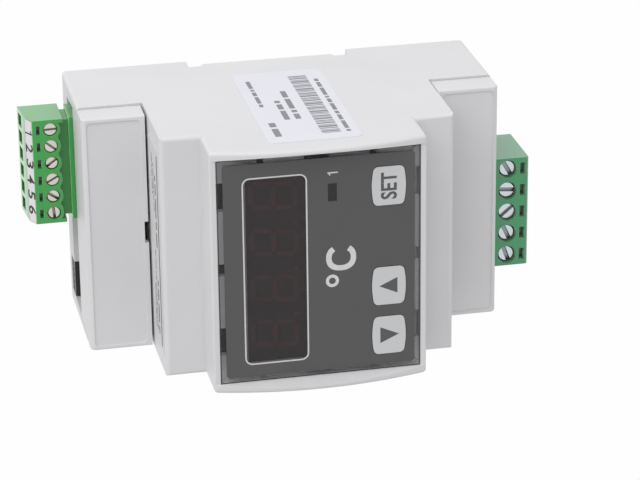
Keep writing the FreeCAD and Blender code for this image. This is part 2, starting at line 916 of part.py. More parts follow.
def segment_bars(depth):
    """All segments and decimal points of the display."""
    bars = []
    first = -digit_pitch * (digit_count - 1) / 2
    for digit in range(digit_count):
        centre = first + digit * digit_pitch
        bars += [front_outline(outline, depth) for outline in digit_segments(centre)]
        point_x = both(point_width / 2, centre + digit_pitch / 2 - point_width)
        point_low = display_z - digit_height / 2
        bars.append(block(point_x, (point_low, point_low + point_width), depth))
    return bars


def display_module():
    """Case of the four-digit display, with wells for its segments."""
    half_x = digit_count * digit_pitch / 2
    case = block(both(half_x), both(display_window_height / 2, display_z),
                 (display_board_face, display_face))
    return case.cut(segment_bars((display_face - segment_thickness, display_face + over)))


def display_segments():
    """Light bars that fill the wells of the display case."""
    return Part.makeCompound(segment_bars((display_face - segment_thickness, display_face)))


def indicator_led():
    """Rectangular lamp behind its window in the foil."""
    return block(both(lamp_window_width / 2, lamp_x), both(lamp_window_height / 2, lamp_z),
                 (display_board_face, display_face))


def display_board():
    """Board behind the front panel."""
    half_z = bezel_half - wall - board_play
    return block(both(board_half_x), both(half_z), (display_board_back, display_board_face))


def link_board_limits():
    left = -board_half_x + link_board_inset
    return (left, left + board_thickness)


def link_board():
    """Upright board between the main board and the display board."""
    return block(link_board_limits(), both(link_board_length / 2), (board_face, display_board_back))


def parts_floor():
    """Lowest Z free for tall parts, inside the step wall."""
    return wall + part_gap - shoulder_half


def relay_limits():
    left = link_board_limits()[1] + part_gap
    return (left, left + relay_width)


def main_board():
    """Board that carries the sockets and the tall parts, drilled for the pins."""
    board = block(both(board_half_x), both(board_half_z), (board_back, board_face))
    holes = []
    for terminal in terminals.values():
        half = terminal.pin / 2 + pin_play
        z = terminal.z(terminal.header_start() - terminal.pin / 2)
        for x in terminal.places():
            holes.append(block(both(half, x), both(half, z), (board_back - over, board_face + over)))
    return board.cut(holes)


def service_socket():
    """Small pin socket in a bay of the upper end wall, flush with the wall."""
    x = (socket_play - notch_half, socket_bay_width - socket_play - notch_half)
    z = (base_half_z - base_wall + socket_play, half_length - socket_play)
    depth = (board_face - socket_bay_depth, board_face - notch_play)
    middle_x = (x[0] + x[1]) / 2
    first = -socket_pitch * (socket_ways - 1) / 2
    holes = []
    for way in range(socket_ways):
        hole_x = both(socket_hole / 2, middle_x + first + way * socket_pitch)
        hole_z = (z[1] - socket_hole_depth, half_length + over)
        holes.append(block(hole_x, hole_z, both(socket_hole / 2, (depth[0] + depth[1]) / 2)))
    return block(x, z, depth).cut(holes)


def transformer():
    """Encapsulated mains transformer: potted block on a wider bobbin foot."""
    right = board_half_x - part_gap
    x = (right - transformer_width, right)
    z = (parts_floor(), parts_floor() + transformer_length)
    foot = block(x, z, (board_face, board_face + bobbin_lip))
    top_x = (x[0] + bobbin_lip, x[1] - bobbin_lip)
    top_z = (z[0] + bobbin_lip, z[1] - bobbin_lip)
    return foot.fuse(block(top_x, top_z, (board_face, board_face + transformer_height)))


def relay():
    """Sealed output relay."""
    z = (parts_floor(), parts_floor() + relay_length)
    return block(relay_limits(), z, (board_face, board_face + relay_height))


def beside_relay():
    """X in line with the relay's middle."""
    return sum(relay_limits()) / 2


def capacitor():
    """Standing electrolytic capacitor."""
    z = parts_floor() + relay_length + part_gap + capacitor_diameter / 2
    return rod(beside_relay(), z, (board_face, board_face + capacitor_height), capacitor_diameter)


def varistor():
    """Surge suppressor disc on its edge."""
    z = parts_floor() + relay_length + 2 * part_gap + capacitor_diameter
    centre = point(beside_relay(), z, board_face + varistor_diameter / 2)
    return Part.makeCylinder(varistor_diameter / 2, varistor_thickness, centre, FreeCAD.Vector(0, 0, 1))


def controller_chip():
    """Small-outline controller with a row of leads on each side."""
    x = board_half_x - part_gap - chip_length / 2
    z = parts_floor() + transformer_length + 2 * part_gap + chip_width / 2
    chip = block(both(chip_length / 2, x), both(chip_width / 2, z),
                 (board_face + chip_lead_thickness, board_face + chip_lead_thickness + chip_height))
    first = x - chip_lead_pitch * (chip_leads - 1) / 2
    for lead in range(chip_leads):
        lead_x = both(chip_lead_width / 2, first + lead * chip_lead_pitch)
        chip = chip.fuse(block(lead_x, both(chip_width / 2 + chip_lead_reach, z),
                               (board_face, board_face + chip_lead_thickness)))
    return chip


def header(terminal):
    """Socket on the main board: a shroud open outwards, with a hole for each pin."""
    half = terminal.half_header()
    start = terminal.header_start()
    depth = (board_face, terminal.header_top())
    body = block(both(half, terminal.centre), terminal.z_limits(start, terminal.header_proud), depth)
    mouth = block(both(half - header_side_wall, terminal.centre),
                  terminal.z_limits(start + header_back, terminal.header_proud + over),
                  (depth[0] + header_wall, depth[1] - header_wall))
    holes = [mouth]
    for x in terminal.places():
        pin_z = terminal.z_limits(start - over, start + header_back + over)
        holes.append(block(both(terminal.pin / 2, x), pin_z, both(terminal.pin / 2, terminal.pin_depth())))
    return body.cut(holes)


def header_pins(terminal):
    """Bent pins of one socket."""
    start = terminal.header_start()
    pins = []
    for x in terminal.places():
        x_limits = both(terminal.pin / 2, x)
        arm = block(x_limits, terminal.z_limits(start - terminal.pin, terminal.pin_tip()),
                    both(terminal.pin / 2, terminal.pin_depth()))
        leg = block(x_limits, terminal.z_limits(start - terminal.pin, start),
                    (board_back - pin_tail, terminal.pin_depth()))
        pins.append(arm.fuse(leg).removeSplitter())
    return Part.makeCompound(pins)


def plug_shape(terminal):
    """Outside of a plug: body, nose and the bosses round its screws."""
    half = terminal.half_plug()
    back = terminal.plug_back()
    front = terminal.plug_front()
    outline = [(terminal.body_reach, back), (terminal.plug_reach, back),
               (terminal.plug_reach - terminal.end_lean, front - terminal.chamfer_depth),
               terminal.slope_start(), (terminal.body_reach, front)]
    corners = [(terminal.z(reach), depth) for reach, depth in outline]
    body = side_profile(corners, both(half, terminal.centre))
    nose_half = terminal.half_header() - header_side_wall - nose_play
    nose = block(both(nose_half, terminal.centre),
                 terminal.z_limits(terminal.nose_start(), terminal.screw_reach),
                 (board_face + header_wall + nose_play, terminal.header_top() - header_wall - nose_play))
    plug = body.fuse(nose)
    if terminal.boss_radius > 0:
        plug = plug.fuse(screw_bosses(terminal))
    if terminal.cheek > 0:
        plug = plug.fuse(side_cheeks(terminal))
    return plug.removeSplitter()


def side_cheeks(terminal):
    """Side plates of a plug, which reach back past its body."""
    z = terminal.z_limits(terminal.cheek_reach, terminal.body_reach)
    depth = (terminal.plug_back(), terminal.plug_front())
    middle = terminal.half_plug() - terminal.cheek / 2
    return [block(both(terminal.cheek / 2, terminal.centre + sign * middle), z, depth) for sign in (-1, 1)]


def screw_bosses(terminal):
    """Round towers at the screws, cut off at the sides of the plug."""
    depth = (terminal.header_top() - header_wall - nose_play, terminal.plug_front())
    sides = both(terminal.half_plug(), terminal.centre)
    limit = block(sides, both(half_length + terminal.plug_reach), depth)
    z = terminal.z(terminal.screw_reach)
    return [rod(x, z, depth, 2 * terminal.boss_radius).common(limit) for x in terminal.places()]


def way_cavities(terminal, x):
    """Hollows of one way: screw well, clamp chamber, wire entry, contact channel and test slot."""
    front = terminal.plug_front()
    screw_z = terminal.z(terminal.screw_reach)
    cage_low, cage_high = terminal.cage_reach()
    chamber_back = terminal.plug_back() + terminal.floor
    chamber_front = terminal.chamber_front()
    entry = (terminal.wire_back(), terminal.bar_limits()[0])
    channel_half = terminal.pin / 2 + terminal.leaf + 2 * contact_play
    funnel_half = terminal.wire_half() + funnel_rim
    wide = (entry[0] - funnel_rim, entry[1] + funnel_rim)
    mouth = terminal.end_reach(wide[1])
    return [
        rod(x, screw_z, (terminal.head_seat() - screw_play, front + over),
            terminal.head_diameter + 2 * terminal.well_play),
        rod(x, screw_z, (chamber_front - screw_play, front), terminal.thread_diameter + 2 * screw_play),
        block(both(terminal.cage_width / 2 + cage_play, x),
              terminal.z_limits(cage_low - cage_play, cage_high + cage_play),
              (chamber_back, chamber_front)),
        block(both(terminal.wire_half(), x),
              terminal.z_limits(cage_high, terminal.plug_reach + over), entry),
        block(both(funnel_half, x),
              terminal.z_limits(mouth - funnel_depth, terminal.plug_reach + over), wide),
        block(both(terminal.bar_half() + contact_play, x),
              terminal.z_limits(terminal.nose_start() - over, cage_low),
              both(channel_half, terminal.pin_depth())),
        block(both(terminal.slot_length / 2, x),
              terminal.z_limits(terminal.slot_reach, terminal.slot_reach + terminal.slot_width),
              (front - slot_depth, front + over)),
    ]


def plug(terminal):
    """Plug moulding with the hollows of every way."""
    shape = plug_shape(terminal)
    for x in terminal.places():
        shape = shape.cut(way_cavities(terminal, x))
    return shape


def plug_contacts(terminal):
    """Contact bars: one end passes through the clamp, the other end grips the socket's pin."""
    leaf_back = terminal.pin / 2 + contact_play
    leaf_front = leaf_back + terminal.leaf
    bar_end = terminal.cage_reach()[1] - cage_play
    bridge = (terminal.pin_tip() + nose_end_play, terminal.pin_tip() + nose_end_play + terminal.bar)
    leaf_z = terminal.z_limits(terminal.nose_start() + nose_play, bridge[1])
    contacts = []
    for x in terminal.places():
        x_limits = both(terminal.bar_half(), x)
        centre = terminal.pin_depth()
        contact = block(x_limits, terminal.z_limits(bridge[0], bar_end), terminal.bar_limits())
        contact = contact.fuse(block(x_limits, terminal.z_limits(*bridge), both(leaf_front, centre)))
        contact = contact.fuse(block(x_limits, leaf_z, (centre + leaf_back, centre + leaf_front)))
        contact = contact.fuse(block(x_limits, leaf_z, (centre - leaf_front, centre - leaf_back)))
        contacts.append(contact.removeSplitter())
    return Part.makeCompound(contacts)


def clamp_cage(terminal, x):
    """Square clamp that rides on its screw."""
    low, high = terminal.cage_reach()
    z = terminal.z_limits(low, high)
    cage = block(both(terminal.cage_width / 2, x), z, (terminal.cage_back(), terminal.cage_front()))
    window = block(both(terminal.wire_half(), x), terminal.z_limits(low - over, high + over),
                   (terminal.wire_back(), terminal.cage_window_front()))
    thread = rod(x, terminal.z(terminal.screw_reach),
                 (terminal.cage_window_front() - thread_play, terminal.cage_front() + over),
                 terminal.thread_diameter + 2 * thread_play)
    return cage.cut(window).cut(thread)


def clamp_screw(terminal, x, angle):
    """Slotted captive screw."""
    z = terminal.z(terminal.screw_reach)
    seat = terminal.head_seat()
    top = seat + terminal.head_height
    head = rod(x, z, (seat, top), terminal.head_diameter)
    shank = rod(x, z, (terminal.cage_window_front(), seat), terminal.thread_diameter)
    driver = block(both(terminal.driver_width / 2, x), both(terminal.head_diameter, z),
                   (top - terminal.driver_depth, top + over))
    driver.rotate(point(x, z, 0), FreeCAD.Vector(0, 1, 0), angle)
    return head.fuse(shank).cut(driver)


def number_strip():
    """White strip on the sloping edge of the input plug."""
    terminal = input_terminal
    start = terminal.slope_start()
    length = math.hypot(terminal.chamfer_reach, terminal.chamfer_depth)
    rise = terminal.chamfer_reach / length
    fall = terminal.chamfer_depth / length
    near = strip_margin
    far = length - strip_margin
    corners = []
    for step, lift in ((near, 0), (far, 0), (far, strip_thickness), (near, strip_thickness)):
        reach = start[0] + rise * step + fall * lift
        corners.append((terminal.z(reach), start[1] - fall * step + rise * lift))
    return side_profile(corners, both(terminal.half_plug() - strip_margin, terminal.centre))


def side_label():
    """White label on the right side wall."""
    depth = (side_label_depth, side_label_depth + side_label_length)
    label = block((half_width, half_width + label_thickness), both(side_label_width / 2), depth)
    corners = [edge for edge in label.Edges if edge.BoundBox.XLength > label_thickness / 2]
    return label.makeFillet(side_label_radius, corners)


def step_labels():
    """Thin plates on the two step faces."""
    depth = (cover_front + step_label_border, shoulder_depth - shoulder_edge_radius - step_label_border)
    x = both(half_width - step_label_margin)
    upper = block(x, (shoulder_half, shoulder_half + label_thickness), depth)
    lower = block(x, (-shoulder_half - label_thickness, -shoulder_half), depth)
    return Part.makeCompound([upper, lower])


def nodes():
    """Every piece of the controller by name."""
    pieces = {
        "housing": housing(), "rear_base": rear_base(), "din_clip": din_clip(),
        "terminal_cover_top": terminal_cover(input_terminal),
        "terminal_cover_bottom": terminal_cover(output_terminal),
        "front_panel": front_panel(), "overlay_foil": overlay_foil(), "display_filter": display_filter(),
        "key_switches": key_switches(), "display_module": display_module(),
        "display_segments": display_segments(), "indicator_led": indicator_led(),
        "display_board": display_board(), "link_board": link_board(), "main_board": main_board(),
        "service_socket": service_socket(),
        "transformer": transformer(), "relay": relay(), "capacitor": capacitor(),
        "varistor": varistor(), "controller_chip": controller_chip(),
        "number_strip": number_strip(), "side_label": side_label(), "step_labels": step_labels(),
    }
    for name, x in key_places.items():
        pieces[name + "_key"] = key_outline(x, key_levels(), 0.0)
        pieces[name + "_plunger"] = plunger(x)
    for name, terminal in terminals.items():
        pieces[name + "_header"] = header(terminal)
        pieces[name + "_pins"] = header_pins(terminal)
        pieces[name + "_plug"] = plug(terminal)
        pieces[name + "_contacts"] = plug_contacts(terminal)
        for way, (x, angle) in enumerate(zip(terminal.places(), terminal.driver_angles), start=1):
            pieces[f"{name}_screw_{way}"] = clamp_screw(terminal, x, angle)
            pieces[f"{name}_cage_{way}"] = clamp_cage(terminal, x)
    return pieces


def main():
    os.makedirs("parts", exist_ok=True)
    for name, shape in nodes().items():
        shape.exportStep(f"parts/{name}.step")


if __name__ == "__main__":
    main()
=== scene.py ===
import math

import bmesh
import bpy
from bpy.props import FloatProperty, FloatVectorProperty, PointerProperty
from mathutils import Matrix, Vector


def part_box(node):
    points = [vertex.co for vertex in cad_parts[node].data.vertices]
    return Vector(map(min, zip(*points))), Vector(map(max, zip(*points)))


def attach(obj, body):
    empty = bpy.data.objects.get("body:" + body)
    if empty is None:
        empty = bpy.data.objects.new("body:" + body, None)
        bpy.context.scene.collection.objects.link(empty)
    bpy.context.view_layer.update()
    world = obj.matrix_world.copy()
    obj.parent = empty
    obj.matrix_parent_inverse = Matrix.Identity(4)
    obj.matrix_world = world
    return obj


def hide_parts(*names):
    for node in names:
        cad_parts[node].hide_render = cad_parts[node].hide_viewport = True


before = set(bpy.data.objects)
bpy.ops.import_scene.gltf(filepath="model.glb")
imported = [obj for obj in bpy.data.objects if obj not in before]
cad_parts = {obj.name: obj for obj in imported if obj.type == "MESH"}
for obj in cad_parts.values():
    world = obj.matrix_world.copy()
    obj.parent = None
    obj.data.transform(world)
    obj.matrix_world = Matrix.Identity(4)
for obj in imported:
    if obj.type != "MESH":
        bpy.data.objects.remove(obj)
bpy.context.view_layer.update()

bl_info = {
    "name": "Rail controller looks",
    "version": (1, 0, 0),
    "blender": (4, 5, 0),
    "location": "View3D > Sidebar > Controller",
    "description": "Finishes, print and lamps for a temperature controller that clips on a rail",
    "category": "Object",
}

MM = 0.001
RIGHT = Vector((1.0, 0.0, 0.0))
BACK = Vector((0.0, 1.0, 0.0))
UP = Vector((0.0, 0.0, 1.0))
WHITE = (1.0, 1.0, 1.0)
BLACK = (0.0, 0.0, 0.0)
INPUT_WAYS = range(1, 7)
OUTPUT_WAYS = range(1, 6)

# image width in pixels for which the camera's reach is given, and its film width in millimetres
IMAGE_WIDTH = 640
FILM_WIDTH = 36.0
# nearest and farthest distance that the camera sees
SIGHT_START = 0.01
SIGHT_END = 100.0
# how much of the floor shows as plain white; the rest takes the shadow
FLOOR_GLOW = 0.975

# the middle part of a noise's range, which is spread over the whole of a finish
NOISE_LOW = 0.3
NOISE_HIGH = 0.7
NOISE_ROUGHNESS = 0.55
# mould grain of small mouldings, and of those on the boards
SMALL_GRAIN = {"grain_size": 0.3 * MM, "grain_depth": 0.003 * MM}
BOARD_GRAIN = {"grain_size": 0.3 * MM, "grain_depth": 0.004 * MM}

# vertices nearer than this are one, and faces that meet flatter than this are one
WELD_DISTANCE = 0.001 * MM
FLAT_ANGLE = math.radians(0.4)
# edges that turn more than this are rounded, in so many steps
SHARP_ANGLE = math.radians(28.0)
ROUND_STEPS = 2
# a face of the number strip is slanted if its normal has more than this both ways
SLANT = 0.1

# how far print reaches into the face that carries it, and lettering as a share of its thickness
PRINT_SINK = 0.004 * MM
LETTER_SINK = 0.2
# how far the front and back of the lamp's pane lie behind the foil's face, in thicknesses of print
PANE_FRONT = 2
PANE_BACK = 10
# depth of the raw letters before they are fitted, and the steps of their curves
LETTER_DEPTH = 0.5
LETTER_STEPS = 4
# how much the letters of the first key and of the number strip are fattened
SIGN_WEIGHT = 0.022
DIGIT_WEIGHT = 0.015
# steps of a round corner, of a circle and of an open bow
CORNER_STEPS = 8
RING_STEPS = 28
BOW_STEPS = 40
# the power that squares up a round bow a little; one is a plain circle
BOW_FULLNESS = 0.86
# the figure 1, across and up from its middle, in heights
FIGURE_ONE = ((0.13, -0.5), (0.13, 0.5), (0.04, 0.5), (-0.04, 0.4), (-0.2, 0.32), (-0.2, 0.2),
              (0.0, 0.28), (0.0, -0.5))

# rows of dashes on a step: level, height, start and end, as shares of half the label
STEP_ROWS = (
    (-0.3, 0.2, 0.0, 0.94),
    (-0.3, 0.2, -0.92, -0.3),
    (0.16, 0.1, 0.34, 0.94),
    (0.16, 0.1, -0.92, -0.06),
    (0.5, 0.1, 0.5, 0.94),
    (0.5, 0.1, -0.92, -0.42),
)
# rows of dashes on the side label: level, height, start and end, as shares of the whole label
LABEL_ROWS = (
    (0.36, 0.07, -0.42, -0.08),
    (0.36, 0.045, 0.0, 0.42),
    (0.17, 0.06, -0.2, 0.22),
    (0.05, 0.06, -0.2, 0.22),
    (-0.385, 0.045, -0.42, 0.42),
)
# lengths of the dashes in a row, and the gap after each, in heights of the row
DASH_LENGTHS = (3.4, 1.8, 4.6, 2.6, 1.2, 5.2)
DASH_GAP = 0.8
# the striped field of the side label: left, bottom, right and top, as shares of the whole label
STRIPE_FIELD = (-0.42, -0.3, 0.42, -0.1)
# widths of the stripes and of the gaps between them, in strokes
STRIPE_WIDTHS = (1.0, 2.2, 1.0, 1.6, 3.0)
STRIPE_GAPS = (1.2, 1.0, 2.0)


def shade(red, green, blue):
    """A colour picked on a screen, as the linear values that a shader takes."""
    steps = (red / 255, green / 255, blue / 255)
    return tuple(s / 12.92 if s <= 0.04045 else ((s + 0.055) / 1.055) ** 2.4 for s in steps)


def colour_value(name, description, default):
    """A colour that the user may change."""
    return FloatVectorProperty(name=name, description=description, default=default,
                               subtype="COLOR", size=3, min=0.0, max=1.0)


def length_value(name, description, default):
    """A length that the user may change, in metres."""
    return FloatProperty(name=name, description=description, default=default,
                         unit="LENGTH", min=0.0, precision=5)


def spot_value(name, description, across, up):
    """A point on the front or a width and height that the user may change, given in millimetres."""
    return FloatVectorProperty(name=name, description=description, default=(across * MM, up * MM),
                               size=2, unit="LENGTH", precision=5)


def share_value(name, description, default):
    """A share from none to all that the user may change."""
    return FloatProperty(name=name, description=description, default=default,
                         subtype="FACTOR", min=0.0, max=1.0)


class StageSettings(bpy.types.PropertyGroup):
    """Floor, lamps and camera."""
    floor_colour: colour_value("Floor", "Colour of the pale floor", (0.9, 0.9, 0.9))
    floor_drop: length_value("Floor drop", "How far the floor lies below the rail", 0.9)
    floor_reach: length_value("Floor reach", "Half the floor's side", 12.0)
    sky_level: FloatProperty(name="Sky level", description="Strength of the light from all sides",
                             default=0.66, min=0.0)
    lamp_power: FloatProperty(name="Lamp power", description="Power of the large soft lamp",
                              default=7.9, min=0.0, unit="POWER")
    lamp_size: length_value("Lamp size", "Side of the large soft lamp", 1.1)
    lamp_place: FloatVectorProperty(name="Lamp place", description="Where the soft lamp hangs",
                                    default=(0.95, -0.45, 0.48), subtype="TRANSLATION", unit="LENGTH")
    camera_place: FloatVectorProperty(name="Camera place", description="Where the camera stands",
                                      default=(0.2324, -0.5916, 0.1129), subtype="TRANSLATION",
                                      unit="LENGTH")
    camera_forward: FloatVectorProperty(name="Camera forward", description="The way the camera looks",
                                        default=(-0.3818, 0.9045, -0.1902), subtype="DIRECTION")
    camera_up: FloatVectorProperty(name="Camera up", description="The image's upward direction",
                                   default=(0.9242, 0.3713, -0.0896), subtype="DIRECTION")
    camera_reach: FloatProperty(name="Camera reach", description="Focal length in image pixels",
                                default=2888.4, min=1.0)


class MouldingSettings(bpy.types.PropertyGroup):
    """The light grey case."""
    shell_colour: colour_value("Shell", "Colour of the case", shade(219, 218, 220))
    base_colour: colour_value("Base", "Colour of the back half of the case", shade(214, 213, 215))
    clip_colour: colour_value("Clip", "Colour of the rail clip", shade(150, 151, 152))
    grain_size: length_value("Grain size", "Size of the spots of the matt mould grain", 0.00038)
    grain_depth: length_value("Grain depth", "Depth of the matt mould grain", 0.000005)
    edge_round: length_value("Edge round", "How far the sharp edges of the case are rounded", 0.00018)


class FrontSettings(bpy.types.PropertyGroup):
    """The clear panel, its printed foil and the smoked window."""
    clear_colour: colour_value("Clear", "Tint of the clear panel", shade(204, 208, 208))
    clear_cover: share_value("Clear cover", "How much the clear panel hides", 0.05)
    # painted shade: a dark line round the clear panel stands for the shaded gap at its edge
    edge_colour: colour_value("Edge", "Colour of the cut edge of the clear panel", shade(58, 58, 58))
    edge_width: length_value("Edge width", "Width of the dark cut edge of the clear panel", 0.0002)
    foil_colour: colour_value("Foil", "Colour of the printed foil", shade(81, 81, 82))
    smoke_colour: colour_value("Smoke", "Tint of the window over the digits", shade(40, 31, 33))
    smoke_cover: share_value("Smoke cover", "How much the smoked window hides", 0.58)
    print_colour: colour_value("Print", "Colour of the light print", shade(216, 216, 216))
    print_thickness: length_value("Print thickness", "How far print stands proud", 0.00002)
    line_low: spot_value("Line low", "Lower left corner of the line round the window", -20.97, 2.55)
    line_high: spot_value("Line high", "Upper right corner of the line round the window", 20.65, 16.13)
    line_width: length_value("Line width", "Width of the line round the window", 0.0003)
    line_corner: length_value("Line corner", "Corner radius of the line round the window", 0.0016)
    degree_place: spot_value("Degree place", "Middle of the degree ring", -3.64, -2.54)
    degree_outer: length_value("Degree outer", "Outer radius of the degree ring", 0.0014)
    degree_inner: length_value("Degree inner", "Inner radius of the degree ring", 0.00072)
    unit_place: spot_value("Unit place", "Middle of the unit's letter", 1.45, -4.43)
    unit_half: spot_value("Unit half size", "Half the width and height of the unit's letter", 2.9, 3.18)
    unit_stroke: length_value("Unit stroke", "Stroke of the unit's letter", 0.00116)
    unit_gap: FloatProperty(name="Unit gap", description="Half the opening of the unit's letter",
                            default=math.radians(34), subtype="ANGLE", min=0.0)
    figure_place: spot_value("Figure place", "Middle of the figure by the lamp", 20.2, -2.8)
    figure_height: length_value("Figure height", "Height of the figure by the lamp", 0.0022)


class DisplaySettings(bpy.types.PropertyGroup):
    """The four digits and the lamp."""
    face_colour: colour_value("Face", "Colour of the digits' case", shade(30, 28, 28))
    bar_colour: colour_value("Bar", "Colour of an unlit bar", shade(216, 98, 86))
    lens_colour: colour_value("Lens", "Colour of the unlit lamp", shade(150, 62, 56))


class KeySettings(bpy.types.PropertyGroup):
    """The three keys."""
    pad_colour: colour_value("Pad", "Colour of a key", shade(207, 208, 209))
    sign_colour: colour_value("Sign", "Colour of a key's sign", shade(86, 87, 88))
    switch_colour: colour_value("Switch", "Colour of the push switches", shade(52, 52, 54))
    word_size: spot_value("Word size", "Width and height of the word on the first key", 5.9, 3.4)
    up_place: spot_value("Up place", "Middle of the base of the arrow up", -5.85, -16.35)
    up_size: spot_value("Up size", "Width and height of the arrow up", 3.5, 3.85)
    down_place: spot_value("Down place", "Middle of the base of the arrow down", -17.0, -12.68)
    down_size: spot_value("Down size", "Width and height of the arrow down", 3.6, 3.97)


class PlugSettings(bpy.types.PropertyGroup):
    """The two plugs and their sockets."""
    input_colour: colour_value("Input green", "Colour of the six-way plug", shade(34, 159, 55))
    output_colour: colour_value("Output green", "Colour of the five-way plug", shade(58, 153, 99))
    sheen_tint: colour_value("Sheen tint", "Cast of the plugs' faces seen at a slant", (0.96, 1.0, 0.98))
    # painted shade: the plugs' green turns towards this colour in their own hollows, up to the reach below
    deep_colour: colour_value("Deep green", "Colour of the plugs' hollows", shade(0, 80, 14))
    hollow_reach: length_value("Hollow reach", "Size of the hollows in which the green deepens", 0.01)
    edge_round: length_value("Edge round", "How far the plugs' edges are rounded", 0.00012)


class ClampSettings(bpy.types.PropertyGroup):
    """Screws, clamps and contacts."""
    input_screw_colour: colour_value("Input screw", "Colour of the six-way plug's screws",
                                     shade(210, 206, 198))
    output_screw_colour: colour_value("Output screw", "Colour of the five-way plug's screws",
                                      shade(206, 214, 218))
    cage_colour: colour_value("Clamp", "Colour of the plated clamps", shade(190, 188, 184))
    contact_colour: colour_value("Contact", "Colour of the tinned contacts", shade(200, 200, 198))
    edge_round: length_value("Edge round", "How far the screws' edges are rounded", 0.0001)


class LabelSettings(bpy.types.PropertyGroup):
    """Number strip, side label and step labels."""
    strip_colour: colour_value("Strip", "Colour of the number strip", shade(228, 223, 228))
    ink_colour: colour_value("Ink", "Colour of the numbers", shade(38, 40, 40))
    digit_width: length_value("Digit width", "Width of the strip's numbers", 0.00195)
    digit_height: length_value("Digit height", "Height of the strip's numbers", 0.0025)
    digit_pitch: length_value("Digit pitch", "Distance between the strip's numbers", 0.00354)
    paper_colour: colour_value("Paper", "Colour of the side label", shade(224, 225, 232))
    rule_colour: colour_value("Rule", "Colour of the dashes on the side label", shade(132, 133, 138))
    stroke: length_value("Stroke", "Width of the side label's thinnest stripe", 0.0003)
    step_colour: colour_value("Step", "Colour of the step labels", shade(214, 213, 214))
    # painted shade: the step ink also prints a dark line along each step label's front edge, standing for
    # its shaded edge
    step_ink_colour: colour_value("Step ink", "Colour of the dashes on the steps", shade(70, 71, 74))
    step_line: length_value("Step line", "Width of the line along a step label's front edge", 0.0009)
    step_border: length_value("Step border", "Bare border of a step label", 0.0014)


class InnerSettings(bpy.types.PropertyGroup):
    """Boards and parts inside the case."""
    board_colour: colour_value("Board", "Colour of the boards", shade(16, 44, 32))
    core_colour: colour_value("Core", "Colour of the transformer", shade(60, 62, 66))
    relay_colour: colour_value("Relay", "Colour of the relay", shade(40, 42, 48))
    can_colour: colour_value("Can", "Colour of the capacitor", shade(36, 38, 52))
    coat_colour: colour_value("Coat", "Colour of the varistor", shade(206, 150, 92))
    chip_colour: colour_value("Chip", "Colour of the chip", shade(30, 30, 32))
    socket_colour: colour_value("Socket", "Colour of the service socket", shade(46, 47, 48))


# finishes


class Finish:
    """A material under construction: its shader and the textures that feed it."""

    def __init__(self, name):
        self.material = bpy.data.materials.new(name)
        self.material.use_nodes = True
        self.tree = self.material.node_tree
        self.surface = self.tree.nodes["Principled BSDF"]

    def node(self, kind, **values):
        """A new node with those inputs set, where _ in a name stands for a space."""
        made = self.tree.nodes.new(kind)
        for key, value in values.items():
            made.inputs[key.replace("_", " ")].default_value = value
        return made

    def link(self, source, target):
        self.tree.links.new(source, target)

    def spots(self, size, detail=2.0, stretch=(1.0, 1.0, 1.0)):
        """Noise with spots of about that size in metres, fixed to the piece."""
        place = self.node("ShaderNodeTexCoord")
        mapping = self.node("ShaderNodeMapping", Scale=stretch)
        noise = self.node("ShaderNodeTexNoise", Scale=1.0 / size, Detail=detail, Roughness=NOISE_ROUGHNESS)
        self.link(place.outputs["Object"], mapping.inputs["Vector"])
        self.link(mapping.outputs["Vector"], noise.inputs["Vector"])
        return noise.outputs["Fac"]

    def span(self, factor, low, high):
        """That texture, spread over a range."""
        spread = self.node("ShaderNodeMapRange", From_Min=NOISE_LOW, From_Max=NOISE_HIGH,
                           To_Min=low, To_Max=high)
        self.link(factor, spread.inputs["Value"])
        return spread.outputs["Result"]

    def blend(self, factor, first, second, start=NOISE_LOW, end=NOISE_HIGH):
        """One colour that turns into another between two values of a texture."""
        ramp = self.node("ShaderNodeValToRGB")
        stops = ramp.color_ramp.elements
        stops[0].position = start
        stops[0].color = (*first, 1.0)
        stops[1].position = end
        stops[1].color = (*second, 1.0)
        self.link(factor, ramp.inputs["Fac"])
        return ramp.outputs["Color"]

    def mottle(self, colour, depth, size, reach=0.0, shade_tone=BLACK):
        """A base colour that varies a little, with painted shade that darkens it in hollows up to a reach.
        """
        dark = tuple(c * (1.0 - depth) for c in colour)
        pale = tuple(min(1.0, c * (1.0 + depth)) for c in colour)
        varied = self.blend(self.spots(size, detail=3.0), dark, pale)
        if reach:
            varied = self.hollows(varied, reach, shade_tone)
        self.link(varied, self.surface.inputs["Base Color"])

    def hollows(self, colour, reach, shade_tone):
        """Painted shade: that colour turns to a darker one in the piece's own hollows up to that reach in
        metres.
        """
        occlusion_shade = self.node("ShaderNodeAmbientOcclusion", Distance=reach)
        occlusion_shade.only_local = True
        mix = self.node("ShaderNodeMixRGB", Color1=(*shade_tone, 1.0))
        self.link(occlusion_shade.outputs["AO"], mix.inputs["Fac"])
        self.link(colour, mix.inputs["Color2"])
        return mix.outputs["Color"]

    def rough(self, low, high, size):
        """Roughness that varies over the surface."""
        self.link(self.span(self.spots(size), low, high), self.surface.inputs["Roughness"])

    def relief(self, height, depth):
        """Fine relief of that depth in metres."""
        bump = self.node("ShaderNodeBump", Strength=1.0, Distance=depth)
        self.link(height, bump.inputs["Height"])
        self.link(bump.outputs["Normal"], self.surface.inputs["Normal"])

    def done(self, **values):
        """The material, with those inputs of its shader set, where _ in a name stands for a space."""
        for key, value in values.items():
            self.surface.inputs[key.replace("_", " ")].default_value = value
        return self.material


def moulded_plastic(name, colour, grain_size, grain_depth, low=0.42, high=0.52, reflection=1.5, sheen=0.0,
                    tint=WHITE, reach=0.0, shade_tone=BLACK):
    """Matt moulded plastic with a fine eroded grain, and painted shade in its hollows when given a reach.
    """
    finish = Finish(name)
    finish.mottle(colour, depth=0.018, size=16 * MM, reach=reach, shade_tone=shade_tone)
    finish.rough(low, high, size=4 * MM)
    finish.relief(finish.spots(grain_size, detail=3.0), grain_depth)
    return finish.done(IOR=reflection, Sheen_Weight=sheen, Sheen_Roughness=0.46, Sheen_Tint=(*tint, 1.0))


